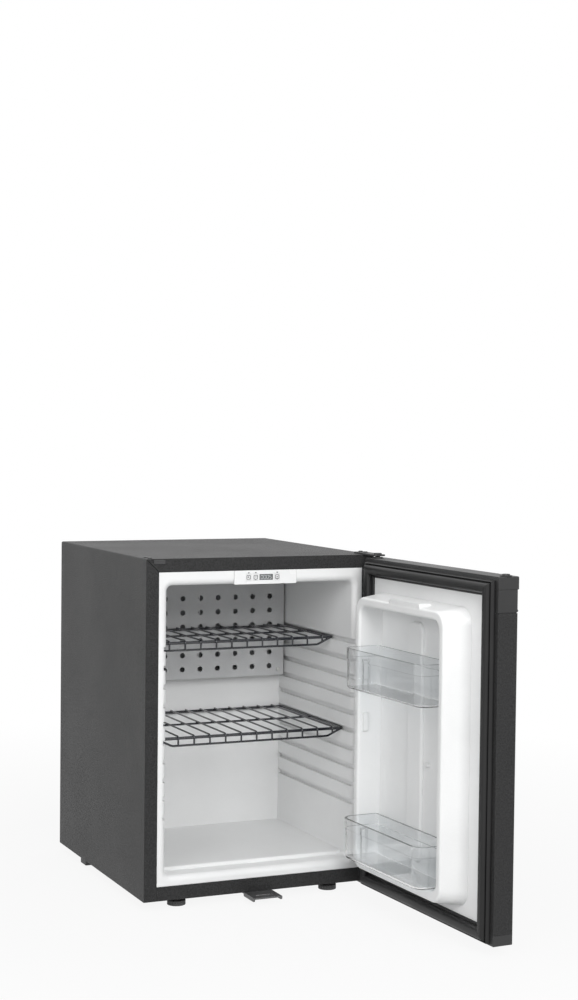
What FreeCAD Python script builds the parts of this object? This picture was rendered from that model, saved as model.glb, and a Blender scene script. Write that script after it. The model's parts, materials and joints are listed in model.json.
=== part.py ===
import FreeCAD, Part
import math
import os
from FreeCAD import Vector

# Hotel minibar fridge with its door standing open.
# All sizes are millimetres. While a piece is drawn, X runs from the cabinet's left side, Y back from its
# front plane and Z up from its underside; save() moves it to the part's own origin, which lies on the
# floor below the middle of the cabinet. Door pieces are drawn shut and turned open by save().

# Cabinet shell
SHELL_WIDTH = 402.0
SHELL_DEPTH = 450.0
SHELL_HEIGHT = 547.0
SHEET = 1.0
BEND_RADIUS = 3.0
FLANGE = 21.5
BASE_FLANGE = 22.5
MITRE_GAP = 0.8
MITRE_DEPTH = 6.0
BAY_DEPTH = 90.0
VENT_COUNT = 7
VENT_PITCH = 44.0
VENT_WIDTH = 30.0
VENT_MARGIN = 18.0

# Clearances
SEAM = 0.3
RUN_GAP = 0.3
PIN_GAP = 0.05
OVERCUT = 1.0

# Inner tub
TUB_WALL = 2.0
RIM_SIDE = 15.5
RIM_TOP = 22.0
RIM_BOTTOM = 16.5
RIM_SETBACK = 0.2
REAR_WALL = 60.0
TUB_CORNER = 9.0
MOUTH_RADIUS = 10.0
MOUTH_BACKING = 4.0
GROOVE_DEPTH = 6.0
GROOVE_HEIGHT = 8.0
GROOVE_PITCH = 29.85
GROOVE_TOP_GAP = 105.5
GROOVE_FOOT_GAP = 80.0
NICHE_WIDTH = 210.0
NICHE_DEPTH = 30.0
NICHE_HEIGHT = 160.0
NICHE_TOP_GAP = 16.0
FLOOR_STEP = 6.0
FLOOR_STEP_Y = 35.0
FLOOR_STEP_ROUND = 4.0

# Perforated cover in front of the cold fins
COVER_SIDE_GAP = 3.0
COVER_TOP_GAP = 3.5
COVER_HEIGHT = 188.0
COVER_DEPTH = 25.0
COVER_SHEET = 1.5
COVER_HOLE = 9.5
COVER_HOLE_MARGIN = 25.0
COVER_ROWS = 6
COVER_PITCH_X = 33.25
COVER_PITCH_Z = 25.1
COVER_FIRST_ROW = 45.6
COVER_BOSS = 9.0
COVER_BOSS_INSET = 10.0

# Screws
SCREW_HEAD = 8.0
SCREW_HEAD_HEIGHT = 1.8
SCREW_SHANK = 4.0
SCREW_HOLD = 10.0

# Cooling unit: cold side
TUBE = 12.0
TUBE_WALL_GAP = 0.3
TUBE_BEND = 16.0
FIN_COUNT = 13
FIN_PITCH = 13.0
FIN_SHEET = 1.5
FIN_HEIGHT = 130.0
FIN_FRONT_GAP = 5.0
FIN_PLATE = 4.0
TUBE_SEAT_GAP = 0.2
TRAY_WALL = 1.5
TRAY_HEIGHT = 11.0
TRAY_LENGTH = 190.0
SPOUT = 8.0
SPOUT_REACH = 14.0
PROBE = 6.0
PROBE_LENGTH = 26.0

# Cooling unit: warm side in the rear bay
BOILER_SIDE_GAP = 72.0
BOILER_DIAMETER = 70.0
BOILER_Z = 60.0
BOILER_HEIGHT = 200.0
CAN_WALL = 2.0
HEATER = 14.0
HEATER_LENGTH = 120.0
HEATER_CAP = 20.0
HEATER_OFFSET = 22.0
CONDENSER_TOP_GAP = 42.0
CONDENSER_FALL = 13.0
COLD_TUBE_INSET = 24.0
COLD_TUBE_DROP = 57.5
COLD_TUBE_SPACING = 60.0
COLD_JOINT_GAP = 25.0
CONDENSER_FIN = 46.0
CONDENSER_FIN_SHEET = 1.0
CONDENSER_FIN_PITCH = 9.0
CONDENSER_FIN_MARGIN = 27.0
COIL_SIDE_GAP = 70.0
COIL_BOILER_GAP = 20.0
COIL_VESSEL_GAP = 20.0
COIL_PASS_DROP = 12.0
COIL_RETURN = 34.0
VESSEL_DIAMETER = 60.0
VESSEL_X = 65.0
LIQUID_RUN = 35.0
VESSEL_Z = 78.0
SADDLE_WIDTH = 20.0
SUPPLY_X = 10.0
SUPPLY_WIDTH = 42.0
SUPPLY_DEPTH = 64.0
SUPPLY_HEIGHT = 120.0
SUPPLY_Z = 150.0
SUPPLY_WALL = 2.0
INLET_WIDTH = 30.0
INLET_HEIGHT = 24.0
INLET_DEPTH = 18.0
INLET_PIN = 2.0
INLET_PIN_SETBACK = 6.0
INLET_WALL = 4.0

# Control panel in the top rim
PANEL_WIDTH = 109.7
PANEL_OFFSET = 4.2
PANEL_DROP = 0.7
PANEL_SHEET = 2.0
PANEL_LAP = 2.0
PANEL_DEPTH = 26.0
PANEL_WALL = 1.5
BOARD_Y = 8.0
BOARD_SHEET = 1.6
BOARD_GAP = 2.5
DISPLAY_WIDTH = 23.4
DISPLAY_HEIGHT = 9.0
DISPLAY_OFFSET = 5.5
DISPLAY_SETBACK = 0.5
KEY_WIDTH = 8.4
KEY_HEIGHT = 11.0
KEY_CORNER = 1.5
KEY_SPREAD = {"button_light": -25.5, "button_set": -13.2, "button_cold": 24.7}
KEY_LIP = 0.9
KEY_TRAVEL = 0.6
KEY_STEM = 4.0
LAMP_WIDTH = 40.0
LAMP_DEPTH = 20.0
LAMP_Y = 32.0
LAMP_DROP = 2.0
LAMP_RISE = 5.0

# Spare hinge place on the left of the front flange
PLUG_X = 12.8
PLUG_WIDTH = 18.5
PLUG_HEIGHT = 6.2
PLUG_TOP_GAP = 1.8
PLUG_HEAD = 1.5
PLUG_STEM_INSET = 1.6
PLUG_STEM = 8.0
HOLE_PLUG_HOLD = 6.0

# Feet
FOOT_HEIGHT = 15.0
FOOT_DIAMETER = 30.0
FOOT_PAD = 8.0
FOOT_COLLAR = 18.0
FOOT_STUD = 8.0
FOOT_STUD_RISE = 14.0
FOOT_X = 66.0
FOOT_Y = 28.0
FOOT_GRIPS = 20
FOOT_GRIP = 1.6
REAR_FOOT_X = 9.0
REAR_FOOT_WIDTH = 12.0
REAR_FOOT_LENGTH = 30.0
REAR_FOOT_GAP = 5.0

# Wire shelves
FRAME_WIRE = 5.0
CROSS_WIRE = 3.0
RAIL_WIRE = 3.6
CROSS_MARGIN = 14.0
CROSS_PITCH = 27.65
CROSS_SHIFT = -5.2
CROSS_LAP = 0.6
CROSS_BEND = 4.0
SHELF_SIDE_GAP = 0.5
SHELF_LIP = 12.0
RAIL_SWEEP = 26.0
RAIL_BEND = 16.0
SHELF_BACK_GAP = 3.0
UPPER_SHELF_STEP_COUNT = 0
UPPER_SHELF_FRONT = 87.0
LOWER_SHELF_STEP_COUNT = 5
LOWER_SHELF_FRONT = 43.0

# Door
DOOR_OPEN_DEG = 92.0
DOOR_BOTTOM = 1.0
DOOR_TOP_GAP = 3.5
DOOR_THICKNESS = 35.0
DOOR_GAP = 13.0
DOOR_EDGE_RADIUS = 4.0
TRIM_WALL = 2.0
BOTTOM_TRIM_HEIGHT = 16.0
TOP_TRIM_HEIGHT = 19.0
GRIP_RAIL_HEIGHT = 35.0
GRIP_GAP = 1.5
GRIP_TONGUE = 6.0
TRIM_OVERHANG = 2.0
GRIP_BEAD = 2.0
BOTTOM_BEAD = 1.0
SKIN_RETURN = 8.0

# Door liner with its raised ring
LINER_SHEET = 2.0
RING_HEIGHT = 42.0
RING_SIDE_GAP = 72.0
RING_HINGE_GAP = 39.0
RING_FOOT_GAP = 39.0
RING_TOP_GAP = 52.5
RING_DRAFT_SIDE = 12.0
RING_DRAFT_HINGE = 6.0
RING_DRAFT_END = 6.0
RING_CORNER = 24.0
RING_EDGE = 4.0
RING_SIDE_WIDTH = 25.0
RING_HINGE_WIDTH = 20.0
RING_FOOT_WIDTH = 22.0
RING_TOP_WIDTH = 20.0
POCKET_CORNER = 16.0
RIB_WIDTH = 45.0
RIB_OFFSET = 9.0
RIB_HEIGHT = 5.0
RIB_END_GAP = 16.0
BUMP_WIDTH = 92.0
BUMP_DEPTH = 22.0
NUB_FOOT_GAP = 16.0
NUB_TOP_GAP = 119.0
NUB_STEP = 84.0
NUB_HEIGHT = 30.0
NUB_REACH = 4.0
NUB_WIDTH = 8.0
NUB_SETBACK = 8.0
LUG_WIDTH = 8.0
LUG_HEIGHT = 6.0
LUG_REACH = 7.0
LUG_SIDE_GAP = 93.0
LUG_FOOT_GAP = 172.0

# Gasket
GASKET_SIDE_INSET = 9.0
GASKET_TOP_INSET = 6.0
GASKET_FOOT_INSET = 2.0
GASKET_WIDTH = 24.0
GASKET_BASE = 3.5
GASKET_SEAL_GAP = 0.5
BULB_INSET = 4.0
BULB_WIDTH = 16.0
BULB_ROUND = 2.0
LIP_INSET = 0.8
LIP_WIDTH = 2.4
LIP_HEIGHT = 3.5

# Clear bins
BIN_END_GAP = 1.0
BIN_BACK_GAP = 1.0
BIN_REACH = 73.0
BIN_HEIGHT = 65.0
BIN_WALL = 2.2
BIN_FRONT_CORNER = 20.0
BIN_BACK_CORNER = 5.0
BIN_FOOT_ROUND = 5.0
BIN_BAND = 17.0
BIN_BAND_STEP = 1.2
BIN_NUB_RISE = 11.0

# Hinges
HINGE_EDGE = 9.0
HINGE_SET = 18.0
HINGE_PLATE = 2.5
HINGE_PIN = 8.0
HINGE_PIN_HEAD = 13.0
HINGE_PIN_HEAD_HEIGHT = 2.0
HINGE_WIDTH = 20.0
HINGE_BACK = 38.0
HINGE_SCREW_Y = 12.0
HINGE_SCREW_PITCH = 18.0
HINGE_NOSE = 12.0
HINGE_CORNER = 4.0
BUSH_DIAMETER = 14.0
BUSH_FLANGE = 18.0
BUSH_FLANGE_HEIGHT = 1.5
BUSH_LENGTH = 13.0
BUSH_BOSS_WALL = 2.5
HOLE_PLUG_KNOB = 12.0
HOLE_PLUG_KNOB_HEIGHT = 2.0
PIN_COLLAR = 14.0

# Lock and its keeper
KEEPER_OFFSET = -3.5
KEEPER_WIDTH = 50.0
KEEPER_SHEET = 2.0
KEEPER_BACK = 26.0
KEEPER_FRONT = 42.0
KEEPER_SIDE_DROP = 6.0
KEEPER_SLOT_WIDTH = 30.0
KEEPER_SLOT_DEPTH = 6.0
KEEPER_SCREW_SPREAD = 25.0
KEEPER_SCREW_Y = 13.0
LOCK_RISE = 8.0
CAM_Y = -26.0
CAM_SHEET = 2.0
CAM_HUB = 10.0
CAM_WIDTH = 8.0
CAM_LENGTH = 16.0
LOCK_PLUG = 6.0
LOCK_BARREL = 10.0
LOCK_HEAD = 11.6
LOCK_HEAD_HEIGHT = 2.0
KEY_SLOT_WIDTH = 1.2
KEY_SLOT_LENGTH = 4.4
KEY_SLOT_DEPTH = 6.0

# Places worked out from the sizes above
MID_X = SHELL_WIDTH / 2
BOX_DEPTH = SHELL_DEPTH - BAY_DEPTH
TUB_DEPTH = BOX_DEPTH - REAR_WALL
UNIT_Y = BOX_DEPTH + BAY_DEPTH / 2
ROW_ORIGIN = Vector(MID_X, SHELL_DEPTH / 2, -FOOT_HEIGHT)
TUB_X0 = FLANGE + RIM_SIDE
TUB_X1 = SHELL_WIDTH - TUB_X0
TUB_Z0 = BASE_FLANGE + RIM_BOTTOM
TUB_Z1 = SHELL_HEIGHT - FLANGE - RIM_TOP
TOP_GROOVE_Z = TUB_Z1 - GROOVE_TOP_GAP
GROOVE_COUNT = int((TOP_GROOVE_Z - TUB_Z0 - GROOVE_FOOT_GAP) / GROOVE_PITCH) + 1
NICHE_X0 = MID_X - NICHE_WIDTH / 2
NICHE_X1 = MID_X + NICHE_WIDTH / 2
NICHE_Z1 = TUB_Z1 - NICHE_TOP_GAP
NICHE_Z0 = NICHE_Z1 - NICHE_HEIGHT
NICHE_Y1 = TUB_DEPTH + NICHE_DEPTH
COVER_X0 = TUB_X0 + COVER_SIDE_GAP
COVER_X1 = TUB_X1 - COVER_SIDE_GAP
COVER_Z1 = TUB_Z1 - COVER_TOP_GAP
COVER_Z0 = COVER_Z1 - COVER_HEIGHT
COVER_Y0 = TUB_DEPTH - COVER_DEPTH
COVER_COLUMNS = int((COVER_X1 - COVER_X0 - 2 * COVER_HOLE_MARGIN) / COVER_PITCH_X) + 1
COLD_IN_Z = NICHE_Z1 - COLD_TUBE_DROP
COLD_OUT_Z = COLD_IN_Z - COLD_TUBE_SPACING
DROP_X = NICHE_X0 + COLD_TUBE_INSET
DROP_JOINT_Z = COLD_IN_Z + COLD_JOINT_GAP
COLD_JOINT_Z = COLD_OUT_Z - COLD_JOINT_GAP
BOILER_X = SHELL_WIDTH - BOILER_SIDE_GAP
RISER_X = BOILER_X - HEATER_OFFSET / 2
CONDENSER_HIGH_Z = SHELL_HEIGHT - CONDENSER_TOP_GAP
CONDENSER_LOW_Z = CONDENSER_HIGH_Z - CONDENSER_FALL
CONDENSER_FIN_COUNT = int((RISER_X - DROP_X - 2 * CONDENSER_FIN_MARGIN) / CONDENSER_FIN_PITCH) + 1
VESSEL_LENGTH = BOILER_X - BOILER_DIAMETER / 2 - LIQUID_RUN - VESSEL_X
COIL_LEFT_X = COIL_SIDE_GAP
COIL_RIGHT_X = BOILER_X - BOILER_DIAMETER / 2 - COIL_BOILER_GAP
COIL_TOP_Z = COLD_JOINT_Z - TUBE_BEND * 1.5
COIL_ROOM = COIL_TOP_Z - COIL_PASS_DROP / 2 - VESSEL_Z - VESSEL_DIAMETER / 2 - COIL_VESSEL_GAP
COIL_PASSES = int(COIL_ROOM / (COIL_PASS_DROP + COIL_RETURN))
REAR_FOOT_Y = BOX_DEPTH - REAR_FOOT_GAP - REAR_FOOT_LENGTH
SHELF_X0 = TUB_X0 - GROOVE_DEPTH + SHELF_SIDE_GAP + FRAME_WIRE / 2
SHELF_X1 = SHELL_WIDTH - SHELF_X0
CROSS_COUNT = int((SHELF_X1 - SHELF_X0 - 2 * CROSS_MARGIN) / CROSS_PITCH) + 1
PANEL_X0 = MID_X + PANEL_OFFSET - PANEL_WIDTH / 2
PANEL_X1 = PANEL_X0 + PANEL_WIDTH
PANEL_Z0 = TUB_Z1 - PANEL_DROP
PANEL_Z1 = SHELL_HEIGHT - FLANGE - SEAM
PANEL_Z = (PANEL_Z0 + PANEL_Z1) / 2
DOOR_TOP = SHELL_HEIGHT - DOOR_TOP_GAP
DOOR_BACK = -DOOR_GAP
DOOR_FRONT = DOOR_BACK - DOOR_THICKNESS
SKIN_Z0 = DOOR_BOTTOM + BOTTOM_TRIM_HEIGHT
TOP_TRIM_Z = DOOR_TOP - TOP_TRIM_HEIGHT
SKIN_Z1 = TOP_TRIM_Z - GRIP_RAIL_HEIGHT
RING_TOP = DOOR_BACK + RING_HEIGHT
RING_ROOT_X0 = RING_SIDE_GAP
RING_ROOT_X1 = SHELL_WIDTH - RING_HINGE_GAP
RING_ROOT_Z0 = DOOR_BOTTOM + RING_FOOT_GAP
RING_ROOT_Z1 = DOOR_TOP - RING_TOP_GAP
POCKET_X0 = RING_ROOT_X0 + RING_SIDE_WIDTH
POCKET_X1 = RING_ROOT_X1 - RING_HINGE_WIDTH
POCKET_Z0 = RING_ROOT_Z0 + RING_FOOT_WIDTH
POCKET_Z1 = RING_ROOT_Z1 - RING_TOP_WIDTH
LOWER_NUB_Z = POCKET_Z0 + NUB_FOOT_GAP
UPPER_NUB_Z = POCKET_Z1 - NUB_TOP_GAP
MIDDLE_NUB_Z = UPPER_NUB_Z - NUB_STEP
LUG_X = POCKET_X0 + LUG_SIDE_GAP
LUG_Z = POCKET_Z0 + LUG_FOOT_GAP
LINER_EDGE = SHEET + SKIN_RETURN
HINGE_X = SHELL_WIDTH - HINGE_EDGE
HINGE_Y = DOOR_BACK - HINGE_SET
KEEPER_X = MID_X + KEEPER_OFFSET
LOCK_Z = DOOR_BOTTOM + LOCK_RISE
CAM_BACK = CAM_Y + CAM_SHEET / 2
CAM_FRONT = CAM_Y - CAM_SHEET / 2
FIN_X0 = MID_X - FIN_PITCH * (FIN_COUNT - 1) / 2
FIN_Y0 = COVER_Y0 + COVER_SHEET + FIN_FRONT_GAP
COLD_TUBE_Y = NICHE_Y1 - TUBE / 2 - FIN_PLATE
FIN_PLATE_Y = COLD_TUBE_Y - TUBE / 2 - TUBE_SEAT_GAP - FIN_PLATE
COLD_TUBE_X1 = FIN_X0 + FIN_PITCH * (FIN_COUNT - 1)
FIN_Z0 = (COLD_IN_Z + COLD_OUT_Z - FIN_HEIGHT) / 2
SPOUT_Z = COVER_Z0 + COVER_SHEET + SEAM + TRAY_WALL + SPOUT / 2


def box(x0, y0, z0, x1, y1, z1):
    """Block between two corners."""
    return Part.makeBox(x1 - x0, y1 - y0, z1 - z0, Vector(x0, y0, z0))


def rod(start, end, diameter):
    """Round bar from one point to another."""
    run = end - start
    return Part.makeCylinder(diameter / 2, run.Length, start, run)


def fuse(solids):
    """One solid out of several that touch or overlap."""
    return solids[0].multiFuse(solids[1:]).removeSplitter()


def weld(wires):
    """One solid out of crossing wires, joined one after another."""
    whole = wires[0]
    for wire in wires[1:]:
        whole = whole.fuse(wire)
    return whole


def cut(solid, tools):
    """The solid with every tool taken away."""
    return solid.cut(Part.makeCompound(tools))


def closed_wire(points):
    """Closed outline: a pair of points is a line, and a triple is an arc through its middle point."""
    edges = []
    for piece in points:
        if len(piece) == 2:
            edges.append(Part.LineSegment(*piece).toShape())
        else:
            edges.append(Part.Arc(*piece).toShape())
    return Part.Wire(edges)


def rounded_wire(x0, z0, x1, z1, radius, y):
    """Upright rectangle with round corners at depth y."""
    nip = radius * (1 - math.sqrt(0.5))
    at = lambda x, z: Vector(x, y, z)
    return closed_wire([
        (at(x0 + radius, z0), at(x1 - radius, z0)),
        (at(x1 - radius, z0), at(x1 - nip, z0 + nip), at(x1, z0 + radius)),
        (at(x1, z0 + radius), at(x1, z1 - radius)),
        (at(x1, z1 - radius), at(x1 - nip, z1 - nip), at(x1 - radius, z1)),
        (at(x1 - radius, z1), at(x0 + radius, z1)),
        (at(x0 + radius, z1), at(x0 + nip, z1 - nip), at(x0, z1 - radius)),
        (at(x0, z1 - radius), at(x0, z0 + radius)),
        (at(x0, z0 + radius), at(x0 + nip, z0 + nip), at(x0 + radius, z0)),
    ])


def rounded_slab(x0, z0, x1, z1, radius, y0, y1):
    """Upright slab with round corners from depth y0 to y1."""
    return Part.Face(rounded_wire(x0, z0, x1, z1, radius, y0)).extrude(Vector(0, y1 - y0, 0))


def arch(inset, z0, y0, y1):
    """Block of the shell's section, inset from its outside, with the two upper edges bent round."""
    x0, x1, z1 = inset, SHELL_WIDTH - inset, SHELL_HEIGHT - inset
    radius = BEND_RADIUS - inset
    nip = radius * (1 - math.sqrt(0.5))
    at = lambda x, z: Vector(x, y0, z)
    outline = closed_wire([
        (at(x0, z0), at(x0, z1 - radius)),
        (at(x0, z1 - radius), at(x0 + nip, z1 - nip), at(x0 + radius, z1)),
        (at(x0 + radius, z1), at(x1 - radius, z1)),
        (at(x1 - radius, z1), at(x1 - nip, z1 - nip), at(x1, z1 - radius)),
        (at(x1, z1 - radius), at(x1, z0)),
        (at(x1, z0), at(x0, z0)),
    ])
    return Part.Face(outline).extrude(Vector(0, y1 - y0, 0))


def pipe(points, diameter, bend):
    """Round tube along straight runs joined by bends of one radius."""
    edges = []
    start = points[0]
    for before, corner, after in zip(points, points[1:], points[2:]):
        back = (before - corner).normalize()
        ahead = (after - corner).normalize()
        half = back.getAngle(ahead) / 2
        middle = (back + ahead).normalize()
        leave = corner + back * (bend / math.tan(half))
        arrive = corner + ahead * (bend / math.tan(half))
        crown = corner + middle * (bend / math.sin(half) - bend)
        edges.append(Part.LineSegment(start, leave).toShape())
        edges.append(Part.Arc(leave, crown, arrive).toShape())
        start = arrive
    edges.append(Part.LineSegment(start, points[-1]).toShape())
    ring = Part.Wire(Part.makeCircle(diameter / 2, points[0], points[1] - points[0]))
    return Part.Wire(edges).makePipeShell([ring], True, False)


def edges_where(solid, test):
    """Edges of a solid whose every vertex passes a test."""
    return [e for e in solid.Edges if all(test(v.Point) for v in e.Vertexes)]


def near(a, b):
    return abs(a - b) < 1e-4


def round_upright_front(solid, y, radius):
    """Round a door piece's two upright front edges."""
    upright = [e for e in edges_where(solid, lambda p: near(p.y, y)) if e.BoundBox.XLength < 1e-4]
    return solid.makeFillet(radius, upright)


def screw(seat, direction, hold):
    """Pan-head screw whose head sits on seat and whose shank runs the way of direction."""
    way = Vector(direction).normalize()
    head = rod(seat - way * SCREW_HEAD_HEIGHT, seat, SCREW_HEAD)
    head = head.makeFillet(
        SCREW_HEAD_HEIGHT / 2, edges_where(head, lambda p: near((p - seat).dot(way), -SCREW_HEAD_HEIGHT)),
    )
    return fuse([head, rod(seat, seat + way * hold, SCREW_SHANK)])


def screw_hole(seat, direction, hold):
    """Clear hole for that screw's shank."""
    way = Vector(direction).normalize()
    return rod(seat - way * OVERCUT, seat + way * (hold + SEAM), SCREW_SHANK + 2 * SEAM)


def save(name, *solids, on_door=False):
    """Turn a door piece open, move it to the part's origin and write it."""
    shape = solids[0] if len(solids) == 1 else Part.makeCompound(list(solids))
    shape = shape.copy()
    if on_door:
        shape.rotate(Vector(HINGE_X, HINGE_Y, 0), Vector(0, 0, 1), DOOR_OPEN_DEG)
    shape.translate(-ROW_ORIGIN)
    if not shape.isValid() or len(shape.Solids) != len(solids):
        print("check", name, shape.isValid(), len(shape.Solids), "of", len(solids))
    shape.exportStep(f"parts/{name}.step")


# Screw places
def hinge_screw_spots():
    x = SHELL_WIDTH - HINGE_WIDTH / 2
    return [(x, HINGE_SCREW_Y), (x, HINGE_SCREW_Y + HINGE_SCREW_PITCH)]


def cover_screw_spots():
    inset = COVER_BOSS_INSET
    return [
        (x, z)
        for x in (COVER_X0 + inset, COVER_X1 - inset) for z in (COVER_Z0 + inset, COVER_Z1 - inset)
    ]


UP = (0, 0, 1)
DOWN = (0, 0, -1)
BACKWARD = (0, 1, 0)
TOP_SCREWS = [
    (Vector(x, y, SHELL_HEIGHT + HINGE_PLATE), DOWN, HINGE_PLATE + SCREW_HOLD)
    for x, y in hinge_screw_spots()
]
BOTTOM_SCREWS = [(Vector(x, y, -HINGE_PLATE), UP, HINGE_PLATE + SCREW_HOLD) for x, y in hinge_screw_spots()]
KEEPER_SCREWS = [
    (
        Vector(KEEPER_X + side * KEEPER_SCREW_SPREAD / 2, KEEPER_SCREW_Y, -KEEPER_SHEET),
        UP,
        KEEPER_SHEET + SCREW_HOLD,
    )
    for side in (-1, 1)
]
COVER_SCREWS = [
    (Vector(x, COVER_Y0, z), BACKWARD, COVER_DEPTH + TUB_WALL + SCREW_HOLD) for x, z in cover_screw_spots()
]
SPARE_PLUGS = [
    (Vector(SHELL_WIDTH - x, y, SHELL_HEIGHT), DOWN, HOLE_PLUG_HOLD) for x, y in hinge_screw_spots()
]
ALL_SCREWS = TOP_SCREWS + BOTTOM_SCREWS + KEEPER_SCREWS + COVER_SCREWS + SPARE_PLUGS
FOOT_SPOTS = {"foot_left": FOOT_X, "foot_right": SHELL_WIDTH - FOOT_X}


# Ways through the wall for what passes it
def wall_passages(clearance):
    start = Vector(MID_X, TUB_DEPTH - OVERCUT, SPOUT_Z)
    drain = rod(start, Vector(MID_X, BOX_DEPTH + OVERCUT, SPOUT_Z), SPOUT + 2 * clearance)
    return [evaporator_tube(TUBE + 2 * clearance), drain]


def stud_holes(top):
    holes = []
    for x in FOOT_SPOTS.values():
        holes.append(rod(Vector(x, FOOT_Y, -OVERCUT), Vector(x, FOOT_Y, top), FOOT_STUD + 2 * RUN_GAP))
    return holes


def groove_floor(index):
    return TOP_GROOVE_Z - GROOVE_PITCH * index


def panel_pocket():
    """Room for the control panel: its face in the rim and its case behind."""
    face = box(
        PANEL_X0 - SEAM, -OVERCUT, PANEL_Z0 - OVERCUT, PANEL_X1 + SEAM, PANEL_SHEET + SEAM, PANEL_Z1 + SEAM,
    )
    case = box(
        PANEL_X0 + PANEL_LAP - SEAM, 0, PANEL_Z0 + PANEL_LAP - SEAM,
        PANEL_X1 - PANEL_LAP + SEAM, PANEL_SHEET + PANEL_DEPTH + SEAM, PANEL_Z1 - PANEL_LAP + SEAM,
    )
    return face.fuse(case)


def lamp_block(clearance):
    half = LAMP_WIDTH / 2 + clearance
    return box(
        MID_X - half, LAMP_Y - clearance, TUB_Z1 - LAMP_DROP, MID_X + half, LAMP_Y + LAMP_DEPTH + clearance,
        TUB_Z1 + LAMP_RISE + clearance,
    )


def plug_stem(clearance):
    inset = PLUG_STEM_INSET - clearance
    z1 = SHELL_HEIGHT - PLUG_TOP_GAP
    return box(
        PLUG_X + inset, 0, z1 - PLUG_HEIGHT + inset, PLUG_X + PLUG_WIDTH - inset,
        PLUG_STEM + clearance, z1 - inset,
    )


def mitre_slots(depth):
    """The open mitres at the front flange's two upper corners, cut back to a depth."""
    length = (FLANGE - BEND_RADIUS) * math.sqrt(2)
    slots = []
    for x, turn in ((FLANGE, -135), (SHELL_WIDTH - FLANGE, -45)):
        slot = box(-OVERCUT, -OVERCUT, -MITRE_GAP / 2, length, depth, MITRE_GAP / 2)
        slot.rotate(Vector(0, 0, 0), Vector(0, 1, 0), turn)
        slot.translate(Vector(x, 0, SHELL_HEIGHT - FLANGE))
        slots.append(slot)
    return slots


def floor_fill():
    """Foam under the raised floor of the tub, between the floor's sheet and the foam below."""
    return box(
        TUB_X0 + TUB_CORNER, FLOOR_STEP_Y + FLOOR_STEP, TUB_Z0 - TUB_WALL, TUB_X1 - TUB_CORNER,
        TUB_DEPTH - TUB_WALL, TUB_Z0 + FLOOR_STEP - TUB_WALL,
    )


# Cabinet
def cabinet_wrapper():
    shell = arch(0, 0, 0, SHELL_DEPTH).cut(arch(SHEET, -OVERCUT, SHEET, SHELL_DEPTH + OVERCUT))
    mouth = box(FLANGE, -OVERCUT, -OVERCUT, SHELL_WIDTH - FLANGE, SHEET + OVERCUT, SHELL_HEIGHT - FLANGE)
    tools = [mouth, plug_stem(SEAM)] + mitre_slots(SHEET + OVERCUT)
    tools += [screw_hole(*s) for s in TOP_SCREWS + SPARE_PLUGS]
    return cut(shell, tools)


def base_pan():
    plate = box(SHEET, SHEET, 0, SHELL_WIDTH - SHEET, SHELL_DEPTH, SHEET)
    side = FLANGE + SEAM
    lip = box(side, 0, 0, SHELL_WIDTH - side, SHEET, BASE_FLANGE)
    bend = box(side, SHEET / 2, 0, SHELL_WIDTH - side, SHEET, SHEET)
    slots = []
    y0, y1 = BOX_DEPTH + VENT_MARGIN, SHELL_DEPTH - VENT_MARGIN
    for index in range(VENT_COUNT):
        x = MID_X + (index - (VENT_COUNT - 1) / 2) * VENT_PITCH
        slots.append(box(x - VENT_WIDTH / 2, y0, -OVERCUT, x + VENT_WIDTH / 2, y1, SHEET + OVERCUT))
    tools = slots + stud_holes(SHEET + OVERCUT)
    tools += [screw_hole(*s) for s in BOTTOM_SCREWS + KEEPER_SCREWS]
    return cut(fuse([plate, bend, lip]), tools)


def rear_sheet():
    return cut(arch(SHEET, SHEET, BOX_DEPTH - SHEET, BOX_DEPTH), wall_passages(TUBE_WALL_GAP))


def tub_outside():
    """Everything that the tub takes out of the foam, its hollow included."""
    rim_back = RIM_SETBACK + TUB_WALL
    side = FLANGE + SEAM
    rim = box(side, RIM_SETBACK, BASE_FLANGE + SEAM, SHELL_WIDTH - side, rim_back, SHELL_HEIGHT - side)
    back = MOUTH_RADIUS + TUB_WALL
    collar = box(
        TUB_X0 - back, RIM_SETBACK, TUB_Z0 - back, TUB_X1 + back, MOUTH_RADIUS + MOUTH_BACKING, TUB_Z1 + back,
    )
    wall = TUB_WALL
    body = box(TUB_X0 - wall, RIM_SETBACK, TUB_Z0 - wall, TUB_X1 + wall, TUB_DEPTH + wall, TUB_Z1 + wall)
    niche = box(
        NICHE_X0 - wall, TUB_DEPTH, NICHE_Z0 - wall, NICHE_X1 + wall, NICHE_Y1 + wall, NICHE_Z1 + wall,
    )
    blocks = [rim, collar, body, niche]
    for index in range(GROOVE_COUNT):
        z = groove_floor(index)
        reach = GROOVE_DEPTH + wall
        blocks.append(box(
            TUB_X0 - reach, RIM_SETBACK, z - wall, TUB_X1 + reach, TUB_DEPTH + wall, z + GROOVE_HEIGHT + wall,
        ))
    return fuse(blocks)


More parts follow.
